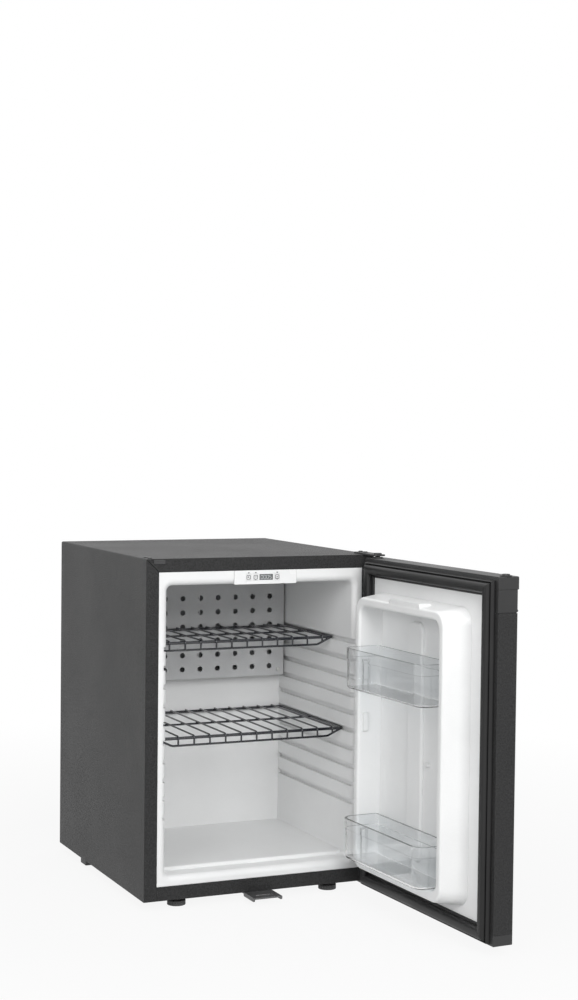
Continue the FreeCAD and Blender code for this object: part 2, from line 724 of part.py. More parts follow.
def inner_liner(outside):
    hollow = rounded_slab(TUB_X0, TUB_Z0, TUB_X1, TUB_Z1, TUB_CORNER, -OVERCUT, TUB_DEPTH)
    tub = outside.cut(hollow)
    in_mouth = lambda p: TUB_X0 - SEAM < p.x < TUB_X1 + SEAM and TUB_Z0 - SEAM < p.z < TUB_Z1 + SEAM
    tub = tub.makeFillet(MOUTH_RADIUS, edges_where(tub, lambda p: near(p.y, RIM_SETBACK) and in_mouth(p)))
    half = TUB_WALL / 2
    step = box(
        TUB_X0 - half, FLOOR_STEP_Y, TUB_Z0 - half, TUB_X1 + half, TUB_DEPTH + half, TUB_Z0 + FLOOR_STEP,
    )
    brow = edges_where(step, lambda p: near(p.y, FLOOR_STEP_Y) and near(p.z, TUB_Z0 + FLOOR_STEP))
    tub = tub.fuse(step.makeFillet(FLOOR_STEP_ROUND, brow))
    tools = [panel_pocket(), lamp_block(SEAM), floor_fill()]
    tools.append(box(NICHE_X0, TUB_DEPTH - OVERCUT, NICHE_Z0, NICHE_X1, NICHE_Y1, NICHE_Z1))
    for index in range(GROOVE_COUNT):
        z = groove_floor(index)
        tools.append(
            box(TUB_X0 - GROOVE_DEPTH, -OVERCUT, z, TUB_X1 + GROOVE_DEPTH, TUB_DEPTH, z + GROOVE_HEIGHT),
        )
    tools += wall_passages(TUBE_WALL_GAP) + [screw_hole(*s) for s in COVER_SCREWS]
    for tool in tools:
        tub = tub.cut(tool)
    return tub


def cabinet_foam(outside):
    block = arch(SHEET, SHEET, SHEET, BOX_DEPTH - SHEET)
    tools = [outside, panel_pocket(), lamp_block(SEAM), plug_stem(SEAM)] + mitre_slots(MITRE_DEPTH)
    tools += wall_passages(TUBE_WALL_GAP) + stud_holes(FOOT_STUD_RISE + RUN_GAP)
    tools += [screw_hole(*s) for s in ALL_SCREWS]
    for tool in tools:
        block = block.cut(tool)
    return fuse([block, floor_fill()])


def evaporator_cover():
    sheet = COVER_SHEET
    shell = box(COVER_X0, COVER_Y0, COVER_Z0, COVER_X1, TUB_DEPTH, COVER_Z1)
    shell = shell.cut(box(
        COVER_X0 + sheet, COVER_Y0 + sheet, COVER_Z0 + sheet, COVER_X1 - sheet, TUB_DEPTH + OVERCUT,
        COVER_Z1 - sheet,
    ))
    bosses = [
        rod(Vector(x, COVER_Y0, z), Vector(x, TUB_DEPTH, z), COVER_BOSS)
        for x, z in cover_screw_spots()
    ]
    holes = []
    for column in range(COVER_COLUMNS):
        x = MID_X + (column - (COVER_COLUMNS - 1) / 2) * COVER_PITCH_X
        for row in range(COVER_ROWS):
            z = COVER_Z1 - COVER_FIRST_ROW - row * COVER_PITCH_Z
            start = Vector(x, COVER_Y0 - OVERCUT, z)
            holes.append(rod(start, Vector(x, COVER_Y0 + sheet + OVERCUT, z), COVER_HOLE))
    return cut(fuse([shell] + bosses), holes + [screw_hole(*s) for s in COVER_SCREWS])


# Cold side of the cooling unit
def evaporator_fins():
    z0, z1 = FIN_Z0, FIN_Z0 + FIN_HEIGHT
    half = FIN_SHEET / 2
    plate = box(FIN_X0 - half, FIN_PLATE_Y, z0, COLD_TUBE_X1 + half, FIN_PLATE_Y + FIN_PLATE, z1)
    fins = []
    for index in range(FIN_COUNT):
        x = FIN_X0 + index * FIN_PITCH
        fins.append(box(x - half, FIN_Y0, z0, x + half, FIN_PLATE_Y + FIN_PLATE / 2, z1))
    return fuse([plate] + fins)


def evaporator_tube(diameter):
    at = lambda x, y, z: Vector(x, y, z)
    return pipe([
        at(DROP_X, UNIT_Y, DROP_JOINT_Z), at(DROP_X, UNIT_Y, COLD_IN_Z), at(DROP_X, COLD_TUBE_Y, COLD_IN_Z),
        at(COLD_TUBE_X1, COLD_TUBE_Y, COLD_IN_Z), at(COLD_TUBE_X1, COLD_TUBE_Y, COLD_OUT_Z),
        at(DROP_X, COLD_TUBE_Y, COLD_OUT_Z), at(DROP_X, UNIT_Y, COLD_OUT_Z), at(DROP_X, UNIT_Y, COLD_JOINT_Z),
    ], diameter, TUBE_BEND)


def drip_tray():
    z0 = COVER_Z0 + COVER_SHEET + SEAM
    x0, x1 = MID_X - TRAY_LENGTH / 2, MID_X + TRAY_LENGTH / 2
    y0, y1 = COVER_Y0 + COVER_SHEET + SEAM, TUB_DEPTH
    tray = box(x0, y0, z0, x1, y1, z0 + TRAY_HEIGHT)
    wall = TRAY_WALL
    hollow = box(x0 + wall, y0 + wall, z0 + wall, x1 - wall, y1 - wall, z0 + TRAY_HEIGHT + OVERCUT)
    spout = rod(Vector(MID_X, y1 - wall, SPOUT_Z), Vector(MID_X, BOX_DEPTH + SPOUT_REACH, SPOUT_Z), SPOUT)
    bore = rod(Vector(MID_X, y0 + wall, SPOUT_Z), Vector(MID_X, SHELL_DEPTH, SPOUT_Z), SPOUT - 2 * wall)
    return fuse([tray.cut(hollow), spout]).cut(bore)


def sensor_probe():
    x = FIN_X0 + FIN_PITCH + FIN_SHEET / 2 + PROBE / 2 + TUBE_SEAT_GAP
    y = FIN_PLATE_Y - PROBE
    z = FIN_Z0 + FIN_HEIGHT - PROBE_LENGTH * 1.5
    probe = rod(Vector(x, y, z), Vector(x, y, z + PROBE_LENGTH), PROBE)
    return probe.makeFillet(PROBE / 2 - SEAM, edges_where(probe, lambda p: near(p.z, z)))


# Warm side of the cooling unit
def boiler():
    base = Vector(BOILER_X, UNIT_Y, BOILER_Z)
    top = Vector(BOILER_X, UNIT_Y, BOILER_Z + BOILER_HEIGHT)
    can = rod(base, top, BOILER_DIAMETER)
    can = can.makeFillet(CAN_WALL * 2, [e for e in can.Edges if e.Curve.TypeId == "Part::GeomCircle"])
    lift = Vector(0, 0, CAN_WALL)
    can = can.cut(rod(base + lift, top - lift, BOILER_DIAMETER - 2 * CAN_WALL))
    well = Vector(BOILER_X + HEATER_OFFSET, UNIT_Y, BOILER_Z + BOILER_HEIGHT - HEATER_LENGTH - CAN_WALL)
    mouth = Vector(well.x, well.y, top.z)
    pocket = rod(well, mouth, HEATER + 2 * CAN_WALL)
    bore = rod(well + lift, mouth + lift, HEATER + 2 * TUBE_WALL_GAP)
    return fuse([can, pocket]).cut(bore)


def heater_cartridge():
    x = BOILER_X + HEATER_OFFSET
    top = BOILER_Z + BOILER_HEIGHT
    stick = rod(Vector(x, UNIT_Y, top - HEATER_LENGTH + SEAM), Vector(x, UNIT_Y, top), HEATER)
    cap = rod(Vector(x, UNIT_Y, top), Vector(x, UNIT_Y, top + HEATER_CAP), HEATER + 2 * CAN_WALL)
    return fuse([stick, cap])


def condenser():
    return pipe([
        Vector(RISER_X, UNIT_Y, BOILER_Z + BOILER_HEIGHT), Vector(RISER_X, UNIT_Y, CONDENSER_HIGH_Z),
        Vector(DROP_X, UNIT_Y, CONDENSER_LOW_Z),
        Vector(DROP_X, UNIT_Y, DROP_JOINT_Z),
    ], TUBE, TUBE_BEND)


def condenser_fins():
    """Square plates on the sloping tube, each a solid of its own."""
    middle = (RISER_X + DROP_X) / 2
    slope = CONDENSER_FALL / (RISER_X - DROP_X)
    run = Vector(1, 0, slope).normalize()
    fins = []
    for index in range(CONDENSER_FIN_COUNT):
        x = middle + (index - (CONDENSER_FIN_COUNT - 1) / 2) * CONDENSER_FIN_PITCH
        z = CONDENSER_LOW_Z + (x - DROP_X) * slope
        half, thick = CONDENSER_FIN / 2, CONDENSER_FIN_SHEET / 2
        plate = box(x - thick, UNIT_Y - half, z - half, x + thick, UNIT_Y + half, z + half)
        centre = Vector(x, UNIT_Y, z)
        fins.append(plate.cut(rod(centre - run * TUBE, centre + run * TUBE, TUBE + 2 * PIN_GAP)))
    return fins


def coil_points():
    at = lambda x, z: Vector(x, UNIT_Y, z)
    z = COIL_TOP_Z
    points = [at(DROP_X, COLD_JOINT_Z), at(DROP_X, z)]
    for index in range(COIL_PASSES):
        x = COIL_RIGHT_X if index % 2 == 0 else COIL_LEFT_X
        z -= COIL_PASS_DROP
        points.append(at(x, z))
        z -= COIL_RETURN
        points.append(at(x, z))
    middle = VESSEL_X + VESSEL_LENGTH / 2
    points.append(at(middle, z - COIL_PASS_DROP / 2))
    points.append(at(middle, VESSEL_Z))
    return points


def vessel_ends():
    return Vector(VESSEL_X, UNIT_Y, VESSEL_Z), Vector(VESSEL_X + VESSEL_LENGTH, UNIT_Y, VESSEL_Z)


def absorber_coil():
    return pipe(coil_points(), TUBE, TUBE_BEND).cut(rod(*vessel_ends(), VESSEL_DIAMETER + 2 * PIN_GAP))


def absorber_vessel():
    left, right = vessel_ends()
    can = rod(left, right, VESSEL_DIAMETER)
    can = can.makeFillet(CAN_WALL * 3, [e for e in can.Edges if e.Curve.TypeId == "Part::GeomCircle"])
    inward = Vector(CAN_WALL, 0, 0)
    return can.cut(rod(left + inward, right - inward, VESSEL_DIAMETER - 4 * CAN_WALL))


def liquid_line():
    right = vessel_ends()[1]
    line = rod(right, Vector(BOILER_X, UNIT_Y, VESSEL_Z), TUBE)
    base = Vector(BOILER_X, UNIT_Y, BOILER_Z)
    return line.cut(rod(base, base + Vector(0, 0, BOILER_HEIGHT), BOILER_DIAMETER + 2 * PIN_GAP))


def unit_brackets():
    """Saddles that carry the boiler and the vessel off the rear sheet."""
    saddles = []
    can = rod(
        Vector(BOILER_X, UNIT_Y, BOILER_Z), Vector(BOILER_X, UNIT_Y, SHELL_HEIGHT),
        BOILER_DIAMETER + 2 * SEAM,
    )
    for share in (0.2, 0.8):
        z = BOILER_Z + BOILER_HEIGHT * share - SADDLE_WIDTH / 2
        half = BOILER_DIAMETER / 3
        block = box(BOILER_X - half, BOX_DEPTH, z, BOILER_X + half, UNIT_Y, z + SADDLE_WIDTH)
        saddles.append(block.cut(can).Solids[0])
    tank = rod(*vessel_ends(), VESSEL_DIAMETER + 2 * SEAM)
    for share in (0.2, 0.8):
        x = VESSEL_X + VESSEL_LENGTH * share - SADDLE_WIDTH / 2
        half = VESSEL_DIAMETER / 3
        block = box(x, BOX_DEPTH, VESSEL_Z - half, x + SADDLE_WIDTH, UNIT_Y, VESSEL_Z + half)
        saddles.append(block.cut(tank).Solids[0])
    return saddles


def supply_box():
    x1, y1, z1 = SUPPLY_X + SUPPLY_WIDTH, BOX_DEPTH + SUPPLY_DEPTH, SUPPLY_Z + SUPPLY_HEIGHT
    case = box(SUPPLY_X, BOX_DEPTH, SUPPLY_Z, x1, y1, z1)
    case = case.makeFillet(SUPPLY_WALL, edges_where(case, lambda p: near(p.y, y1)))
    wall = SUPPLY_WALL
    hollow = box(SUPPLY_X + wall, BOX_DEPTH - OVERCUT, SUPPLY_Z + wall, x1 - wall, y1 - wall, z1 - wall)
    return case.cut(hollow).cut(inlet_block(SEAM, y1))


def inlet_block(clearance, y1):
    middle = SUPPLY_X + SUPPLY_WIDTH / 2
    half = INLET_WIDTH / 2 + clearance
    z0 = SUPPLY_Z + SUPPLY_WIDTH / 3
    return box(
        middle - half, y1 - INLET_DEPTH, z0 - clearance, middle + half, y1 + SUPPLY_WALL,
        z0 + INLET_HEIGHT + clearance,
    )


def mains_inlet():
    y1 = BOX_DEPTH + SUPPLY_DEPTH
    body = inlet_block(0, y1)
    wall = INLET_WALL
    room = body.BoundBox
    hollow = box(
        room.XMin + wall, y1 - INLET_DEPTH + wall, room.ZMin + wall, room.XMax - wall, room.YMax + OVERCUT,
        room.ZMax - wall,
    )
    middle_x, middle_z = room.Center.x, room.Center.z
    pins = []
    for side, rise in ((-1, -1), (0, 1), (1, -1)):
        x, z = middle_x + side * INLET_WIDTH / 5, middle_z + rise * INLET_HEIGHT / 10
        pins.append(box(
            x - INLET_PIN / 2, y1 - INLET_DEPTH + wall - OVERCUT, z - INLET_PIN, x + INLET_PIN / 2,
            y1 - INLET_PIN_SETBACK, z + INLET_PIN,
        ))
    return fuse([body.cut(hollow)] + pins)


# Control panel
def key_spots():
    return {name: MID_X + spread for name, spread in KEY_SPREAD.items()}


def display_x():
    return MID_X + DISPLAY_OFFSET


def control_fascia():
    plate = rounded_slab(PANEL_X0, PANEL_Z0, PANEL_X1, PANEL_Z1, KEY_CORNER, 0, PANEL_SHEET)
    half_w, half_h = DISPLAY_WIDTH / 2 + SEAM, DISPLAY_HEIGHT / 2 + SEAM
    x = display_x()
    tools = [box(x - half_w, -OVERCUT, PANEL_Z - half_h, x + half_w, PANEL_SHEET + OVERCUT, PANEL_Z + half_h)]
    half_w, half_h = KEY_WIDTH / 2 + RUN_GAP, KEY_HEIGHT / 2 + RUN_GAP
    for x in key_spots().values():
        tools.append(rounded_slab(
            x - half_w, PANEL_Z - half_h, x + half_w, PANEL_Z + half_h, KEY_CORNER + RUN_GAP, -OVERCUT,
            PANEL_SHEET + OVERCUT,
        ))
    return cut(plate, tools)


def control_case():
    lap, wall = PANEL_LAP, PANEL_WALL
    x0, x1, z0, z1 = PANEL_X0 + lap, PANEL_X1 - lap, PANEL_Z0 + lap, PANEL_Z1 - lap
    y1 = PANEL_SHEET + PANEL_DEPTH
    case = box(x0, PANEL_SHEET, z0, x1, y1, z1)
    case = case.cut(box(x0 + wall, PANEL_SHEET - OVERCUT, z0 + wall, x1 - wall, y1 - wall, z1 - wall))
    posts = []
    for x in (x0 + KEY_WIDTH, x1 - KEY_WIDTH):
        posts.append(
            rod(Vector(x, BOARD_Y + BOARD_SHEET, PANEL_Z), Vector(x, y1 - wall / 2, PANEL_Z), KEY_STEM),
        )
    return fuse([case] + posts)


def control_board():
    gap = PANEL_LAP + PANEL_WALL + BOARD_GAP / 2
    return box(PANEL_X0 + gap, BOARD_Y, PANEL_Z0 + gap, PANEL_X1 - gap, BOARD_Y + BOARD_SHEET, PANEL_Z1 - gap)


def control_display():
    x, half_w, half_h = display_x(), DISPLAY_WIDTH / 2, DISPLAY_HEIGHT / 2
    return box(x - half_w, DISPLAY_SETBACK, PANEL_Z - half_h, x + half_w, BOARD_Y, PANEL_Z + half_h)


def control_button(x):
    half_w, half_h = KEY_WIDTH / 2, KEY_HEIGHT / 2
    behind = PANEL_SHEET + RUN_GAP
    cap = rounded_slab(
        x - half_w, PANEL_Z - half_h, x + half_w, PANEL_Z + half_h, KEY_CORNER, 0, behind + KEY_LIP,
    )
    lip = KEY_LIP + RUN_GAP
    skirt = rounded_slab(
        x - half_w - lip, PANEL_Z - half_h - lip, x + half_w + lip, PANEL_Z + half_h + lip,
        KEY_CORNER + lip, behind,
        behind + KEY_LIP,
    )
    stem = rod(Vector(x, behind, PANEL_Z), Vector(x, BOARD_Y - KEY_TRAVEL - RUN_GAP, PANEL_Z), KEY_STEM)
    return fuse([cap, skirt, stem])


def lamp_lens():
    lens = lamp_block(0)
    low = edges_where(lens, lambda p: near(p.z, TUB_Z1 - LAMP_DROP))
    return lens.makeFillet(LAMP_DROP * 0.7, low)


def flange_plug():
    z1 = SHELL_HEIGHT - PLUG_TOP_GAP
    head = rounded_slab(PLUG_X, z1 - PLUG_HEIGHT, PLUG_X + PLUG_WIDTH, z1, PLUG_STEM_INSET, -PLUG_HEAD, 0)
    return fuse([head, plug_stem(0)])


# Hinges
def hinge_plate(z0, screws):
    """Flat bar screwed to the cabinet and reaching out to the door's axis."""
    x1 = SHELL_WIDTH
    plate = box(x1 - HINGE_WIDTH, HINGE_Y - HINGE_NOSE, z0, x1, HINGE_BACK, z0 + HINGE_PLATE)
    plate = plate.makeFillet(HINGE_CORNER, [e for e in plate.Edges if e.BoundBox.ZLength > HINGE_PLATE / 2])
    pin = Vector(HINGE_X, HINGE_Y, z0 - OVERCUT)
    tools = [rod(pin, pin + Vector(0, 0, HINGE_PLATE + 2 * OVERCUT), HINGE_PIN + 2 * PIN_GAP)]
    return cut(plate, tools + [screw_hole(*s) for s in screws])


def top_hinge_pin():
    seat = Vector(HINGE_X, HINGE_Y, SHELL_HEIGHT + HINGE_PLATE)
    head = rod(seat, seat + Vector(0, 0, HINGE_PIN_HEAD_HEIGHT), HINGE_PIN_HEAD)
    tip = Vector(HINGE_X, HINGE_Y, DOOR_TOP - BUSH_LENGTH)
    return fuse([head, rod(tip, seat, HINGE_PIN)])


def bottom_hinge_pin():
    base = Vector(HINGE_X, HINGE_Y, -HINGE_PLATE)
    tip = Vector(HINGE_X, HINGE_Y, DOOR_BOTTOM + BUSH_LENGTH)
    seat = Vector(HINGE_X, HINGE_Y, 0)
    collar = rod(seat, Vector(HINGE_X, HINGE_Y, DOOR_BOTTOM - RUN_GAP), PIN_COLLAR)
    return fuse([rod(base, tip, HINGE_PIN), collar])


def hinge_bush(low, high, flange_seat):
    """Plain bush in the door's end, with a flange where the door's top meets the hinge plate."""
    axis = lambda z: Vector(HINGE_X, HINGE_Y, z)
    solids = [rod(axis(low), axis(high), BUSH_DIAMETER)]
    if flange_seat is not None:
        solids.append(rod(axis(flange_seat), axis(flange_seat + BUSH_FLANGE_HEIGHT), BUSH_FLANGE))
    bore = rod(axis(low - OVERCUT), axis(high + BUSH_FLANGE_HEIGHT + OVERCUT), HINGE_PIN + 2 * PIN_GAP)
    return cut(fuse(solids), [bore]) if len(solids) > 1 else solids[0].cut(bore)


# Feet
def screw_foot():
    """Levelling foot with finger grips round its pad and a stud up into the base."""
    at = lambda z: Vector(0, FOOT_Y, z)
    low = -FOOT_HEIGHT
    pad = rod(at(low), at(low + FOOT_PAD), FOOT_DIAMETER)
    pad = pad.makeFillet(FOOT_GRIP / 2, [e for e in pad.Edges if near(e.BoundBox.ZLength, 0)])
    grips = []
    for index in range(FOOT_GRIPS):
        turn = 2 * math.pi * (index + 0.5) / FOOT_GRIPS
        spot = at(low - OVERCUT) + Vector(math.cos(turn), math.sin(turn), 0) * (FOOT_DIAMETER / 2)
        grips.append(rod(spot, spot + Vector(0, 0, FOOT_PAD + 2 * OVERCUT), FOOT_GRIP))
    collar = rod(at(low + FOOT_PAD), at(-RUN_GAP), FOOT_COLLAR)
    stud = rod(at(-RUN_GAP), at(FOOT_STUD_RISE), FOOT_STUD)
    return fuse([cut(pad, grips), collar, stud])


def rear_feet():
    feet = []
    for x in (REAR_FOOT_X, SHELL_WIDTH - REAR_FOOT_X - REAR_FOOT_WIDTH):
        foot = box(x, REAR_FOOT_Y, -FOOT_HEIGHT, x + REAR_FOOT_WIDTH, REAR_FOOT_Y + REAR_FOOT_LENGTH, 0)
        feet.append(foot.makeFillet(SHEET * 2, [e for e in foot.Edges if e.BoundBox.ZLength > 1]))
    return feet


# Keeper that the lock's cam drops into
def lock_keeper():
    half, sheet = KEEPER_WIDTH / 2, KEEPER_SHEET
    plate = box(KEEPER_X - half, -KEEPER_FRONT, -sheet, KEEPER_X + half, KEEPER_BACK, 0)
    solids = [plate]
    for x in (KEEPER_X - half, KEEPER_X + half - sheet):
        side = box(x, -KEEPER_FRONT, -KEEPER_SIDE_DROP, x + sheet, SHEET, 0)
        tip = [
            e
            for e in edges_where(side, lambda p: near(p.z, -KEEPER_SIDE_DROP))
            if e.BoundBox.XLength > sheet / 2
        ]
        solids.append(side.makeFillet(KEEPER_SIDE_DROP / 2, tip))
    slot_half = KEEPER_SLOT_WIDTH / 2
    slot = rounded_slot(KEEPER_X - slot_half, KEEPER_X + slot_half, CAM_Y, KEEPER_SLOT_DEPTH)
    return cut(fuse(solids), [slot] + [screw_hole(*s) for s in KEEPER_SCREWS])


def rounded_slot(x0, x1, y, width):
    slot = box(x0, y - width / 2, -KEEPER_SIDE_DROP, x1, y + width / 2, OVERCUT)
    return slot.makeFillet(width / 4, [e for e in slot.Edges if e.BoundBox.ZLength > OVERCUT])


# Shelves
def wire_shelf(groove, front, back):
    """Welded wire shelf: frame, cross wires turned down at the front, and the rail that they end on."""
    level = groove_floor(groove) + RUN_GAP + FRAME_WIRE / 2
    x0, x1 = SHELF_X0, SHELF_X1
    corners = [
        Vector(x0, front, level), Vector(x1, front, level), Vector(x1, back, level), Vector(x0, back, level),
    ]
    solids = []
    for here, there in zip(corners, corners[1:] + corners[:1]):
        solids.append(rod(here, there, FRAME_WIRE))
        solids.append(Part.makeSphere(FRAME_WIRE / 2, here))
    high = level + (FRAME_WIRE + CROSS_WIRE) / 2 - CROSS_LAP
    ahead = front - (FRAME_WIRE + CROSS_WIRE) / 2 + CROSS_LAP
    low = level - SHELF_LIP
    end = x0 + RAIL_WIRE / 2
    for index in range(CROSS_COUNT):
        x = MID_X + CROSS_SHIFT + (index - (CROSS_COUNT - 1) / 2) * CROSS_PITCH
        sweep = min(x - end, SHELL_WIDTH - end - x, RAIL_SWEEP) / RAIL_SWEEP
        foot = level - SHELF_LIP * sweep
        route = [Vector(x, back, high), Vector(x, ahead, high), Vector(x, ahead, foot)]
        solids.append(pipe(route, CROSS_WIRE, CROSS_BEND))
    rail_y = ahead + (CROSS_WIRE + RAIL_WIRE) / 2 - CROSS_LAP
    solids.append(pipe([
        Vector(end, rail_y, level), Vector(end + RAIL_SWEEP, rail_y, low),
        Vector(SHELL_WIDTH - end - RAIL_SWEEP, rail_y, low), Vector(SHELL_WIDTH - end, rail_y, level),
    ], RAIL_WIRE, RAIL_BEND))
    brace_y = (front + back) / 2
    solids.append(rod(Vector(x0, brace_y, level), Vector(x1, brace_y, level), RAIL_WIRE + CROSS_LAP))
    return weld(solids)


# Door
def door_skin():
    outer = box(0, DOOR_FRONT, SKIN_Z0, SHELL_WIDTH, DOOR_BACK, SKIN_Z1)
    outer = round_upright_front(outer, DOOR_FRONT, DOOR_EDGE_RADIUS)
    inner = box(
        SHEET, DOOR_FRONT + SHEET, SKIN_Z0 - OVERCUT,
        SHELL_WIDTH - SHEET, DOOR_BACK - SHEET, SKIN_Z1 + OVERCUT,
    )
    inner = round_upright_front(inner, DOOR_FRONT + SHEET, DOOR_EDGE_RADIUS - SHEET)
    return cut(outer, [inner, liner_window()])


def liner_window():
    edge = LINER_EDGE
    low, high = DOOR_BOTTOM + SKIN_RETURN, DOOR_TOP - SKIN_RETURN
    return box(edge, DOOR_BACK - LINER_SHEET, low, SHELL_WIDTH - edge, DOOR_BACK + OVERCUT, high)


def door_grip_rail():
    """Hollow rail above the skin, with a stepped-in tongue that tucks into the skin's top edge."""
    z0, z1 = SKIN_Z1 + GRIP_GAP, TOP_TRIM_Z - SEAM
    outer = box(0, DOOR_FRONT, z0, SHELL_WIDTH, DOOR_BACK, z1)
    outer = round_upright_front(outer, DOOR_FRONT, DOOR_EDGE_RADIUS)
    wall, step = TRIM_WALL, SHEET + SEAM
    low = SKIN_Z1 - GRIP_TONGUE
    tongue = box(step, DOOR_FRONT + step, low, SHELL_WIDTH - step, DOOR_BACK - step, z0 + wall)
    tongue = round_upright_front(tongue, DOOR_FRONT + step, DOOR_EDGE_RADIUS - step)
    rear_lip = box(step, DOOR_BACK - SHEET, SKIN_Z1 + SEAM, SHELL_WIDTH - step, DOOR_BACK, z0 + wall)
    inner = box(wall, DOOR_FRONT + wall, low - OVERCUT, SHELL_WIDTH - wall, DOOR_BACK - SHEET, z1 + OVERCUT)
    inner = round_upright_front(inner, DOOR_FRONT + wall, DOOR_EDGE_RADIUS - wall)
    bead_z = z0 + GRIP_BEAD
    edge = DOOR_EDGE_RADIUS
    bead = rod(
        Vector(edge, DOOR_FRONT, bead_z), Vector(SHELL_WIDTH - edge, DOOR_FRONT, bead_z), 2 * GRIP_BEAD,
    )
    return cut(fuse([outer, bead, tongue, rear_lip]), [inner, liner_window()])


def bush_boss(x, z0, z1):
    return rod(Vector(x, HINGE_Y, z0), Vector(x, HINGE_Y, z1), BUSH_DIAMETER + 2 * BUSH_BOSS_WALL)


def bush_bore(x, z0, z1):
    return rod(Vector(x, HINGE_Y, z0), Vector(x, HINGE_Y, z1), BUSH_DIAMETER + 2 * PIN_GAP)


def door_top_trim():
    front = DOOR_FRONT - TRIM_OVERHANG
    outer = box(0, front, TOP_TRIM_Z, SHELL_WIDTH, DOOR_BACK, DOOR_TOP)
    outer = round_upright_front(outer, front, DOOR_EDGE_RADIUS)
    brow = edges_where(outer, lambda p: near(p.z, DOOR_TOP) and p.y < DOOR_BACK - OVERCUT)
    outer = outer.makeFillet(DOOR_EDGE_RADIUS / 2, brow)
    wall = TRIM_WALL
    hollow = box(
        wall, DOOR_FRONT + wall, TOP_TRIM_Z - OVERCUT, SHELL_WIDTH - wall, DOOR_BACK - LINER_SHEET,
        DOOR_TOP - wall,
    )
    bosses = []
    bores = []
    low = DOOR_TOP - BUSH_LENGTH - TRIM_WALL
    room = box(0, DOOR_FRONT, TOP_TRIM_Z, SHELL_WIDTH, DOOR_BACK - LINER_SHEET, DOOR_TOP - wall / 2)
    for x in (HINGE_X, SHELL_WIDTH - HINGE_X):
        bosses.append(bush_boss(x, low, DOOR_TOP - wall / 2).common(room))
        bores.append(bush_bore(x, low - OVERCUT, DOOR_TOP + OVERCUT))
    return cut(fuse([outer.cut(hollow)] + bosses), bores + [liner_window()])


def door_bottom_trim():
    z0, z1 = DOOR_BOTTOM, SKIN_Z0 - SEAM
    outer = box(0, DOOR_FRONT, z0, SHELL_WIDTH, DOOR_BACK, z1)
    outer = round_upright_front(outer, DOOR_FRONT, DOOR_EDGE_RADIUS)
    wall = TRIM_WALL
    hollow = box(
        wall, DOOR_FRONT + wall, z0 + wall, SHELL_WIDTH - wall, DOOR_BACK - LINER_SHEET, z1 + OVERCUT,
    )
    edge = DOOR_EDGE_RADIUS
    bead_z = z1 - BOTTOM_BEAD
    bead = rod(
        Vector(edge, DOOR_FRONT, bead_z), Vector(SHELL_WIDTH - edge, DOOR_FRONT, bead_z), 2 * BOTTOM_BEAD,
    )
    bosses, bores = [], []
    top = DOOR_BOTTOM + BUSH_LENGTH
    room = box(0, DOOR_FRONT, z0, SHELL_WIDTH, DOOR_BACK - LINER_SHEET, z1)
    for x in (HINGE_X, SHELL_WIDTH - HINGE_X):
        bosses.append(bush_boss(x, z0 + wall / 2, top).common(room))
        bores.append(bush_bore(x, z0 - OVERCUT, top + OVERCUT))
    reach = CAM_LENGTH + OVERCUT
    half = KEEPER_SLOT_DEPTH / 2
    way_out = box(
        KEEPER_X - reach, CAM_Y - half, z0 - OVERCUT, KEEPER_X + reach, CAM_Y + half, z0 + wall + OVERCUT,
    )
    face = Vector(KEEPER_X, DOOR_FRONT - OVERCUT, LOCK_Z)
    barrel = rod(face, face + Vector(0, TRIM_WALL + 2 * OVERCUT, 0), LOCK_BARREL + 2 * SEAM)
    return cut(fuse([outer.cut(hollow), bead] + bosses), bores + [way_out, barrel, liner_window()])


def ring_block(inset, base):
    """The raised ring's outside as a tapered block, inset for what lies inside its wall."""
    low = rounded_wire(
        RING_ROOT_X0 + inset, RING_ROOT_Z0 + inset, RING_ROOT_X1 - inset, RING_ROOT_Z1 - inset,
        RING_CORNER, DOOR_BACK,
    )
    high = rounded_wire(
        RING_ROOT_X0 + RING_DRAFT_SIDE + inset, RING_ROOT_Z0 + RING_DRAFT_END + inset,
        RING_ROOT_X1 - RING_DRAFT_HINGE - inset, RING_ROOT_Z1 - RING_DRAFT_END - inset, RING_CORNER,
        RING_TOP - inset,
    )
    block = Part.makeLoft([low, high], True, True)
    if base < DOOR_BACK:
        root = rounded_slab(
            RING_ROOT_X0 + inset, RING_ROOT_Z0 + inset, RING_ROOT_X1 - inset, RING_ROOT_Z1 - inset,
            RING_CORNER, base,
            DOOR_BACK,
        )
        block = fuse([block, root])
    return block


def pocket_block(outset, base):
    """The hollow that the ring goes round."""
    return rounded_slab(
        POCKET_X0 - outset, POCKET_Z0 - outset, POCKET_X1 + outset, POCKET_Z1 + outset,
        POCKET_CORNER + outset, base,
        RING_TOP + OVERCUT,
    )


def ring_fill():
    """Foam inside the raised ring, down through the liner to the foam behind it."""
    base = DOOR_BACK - LINER_SHEET
    return ring_block(LINER_SHEET, base).cut(pocket_block(LINER_SHEET, base - OVERCUT))


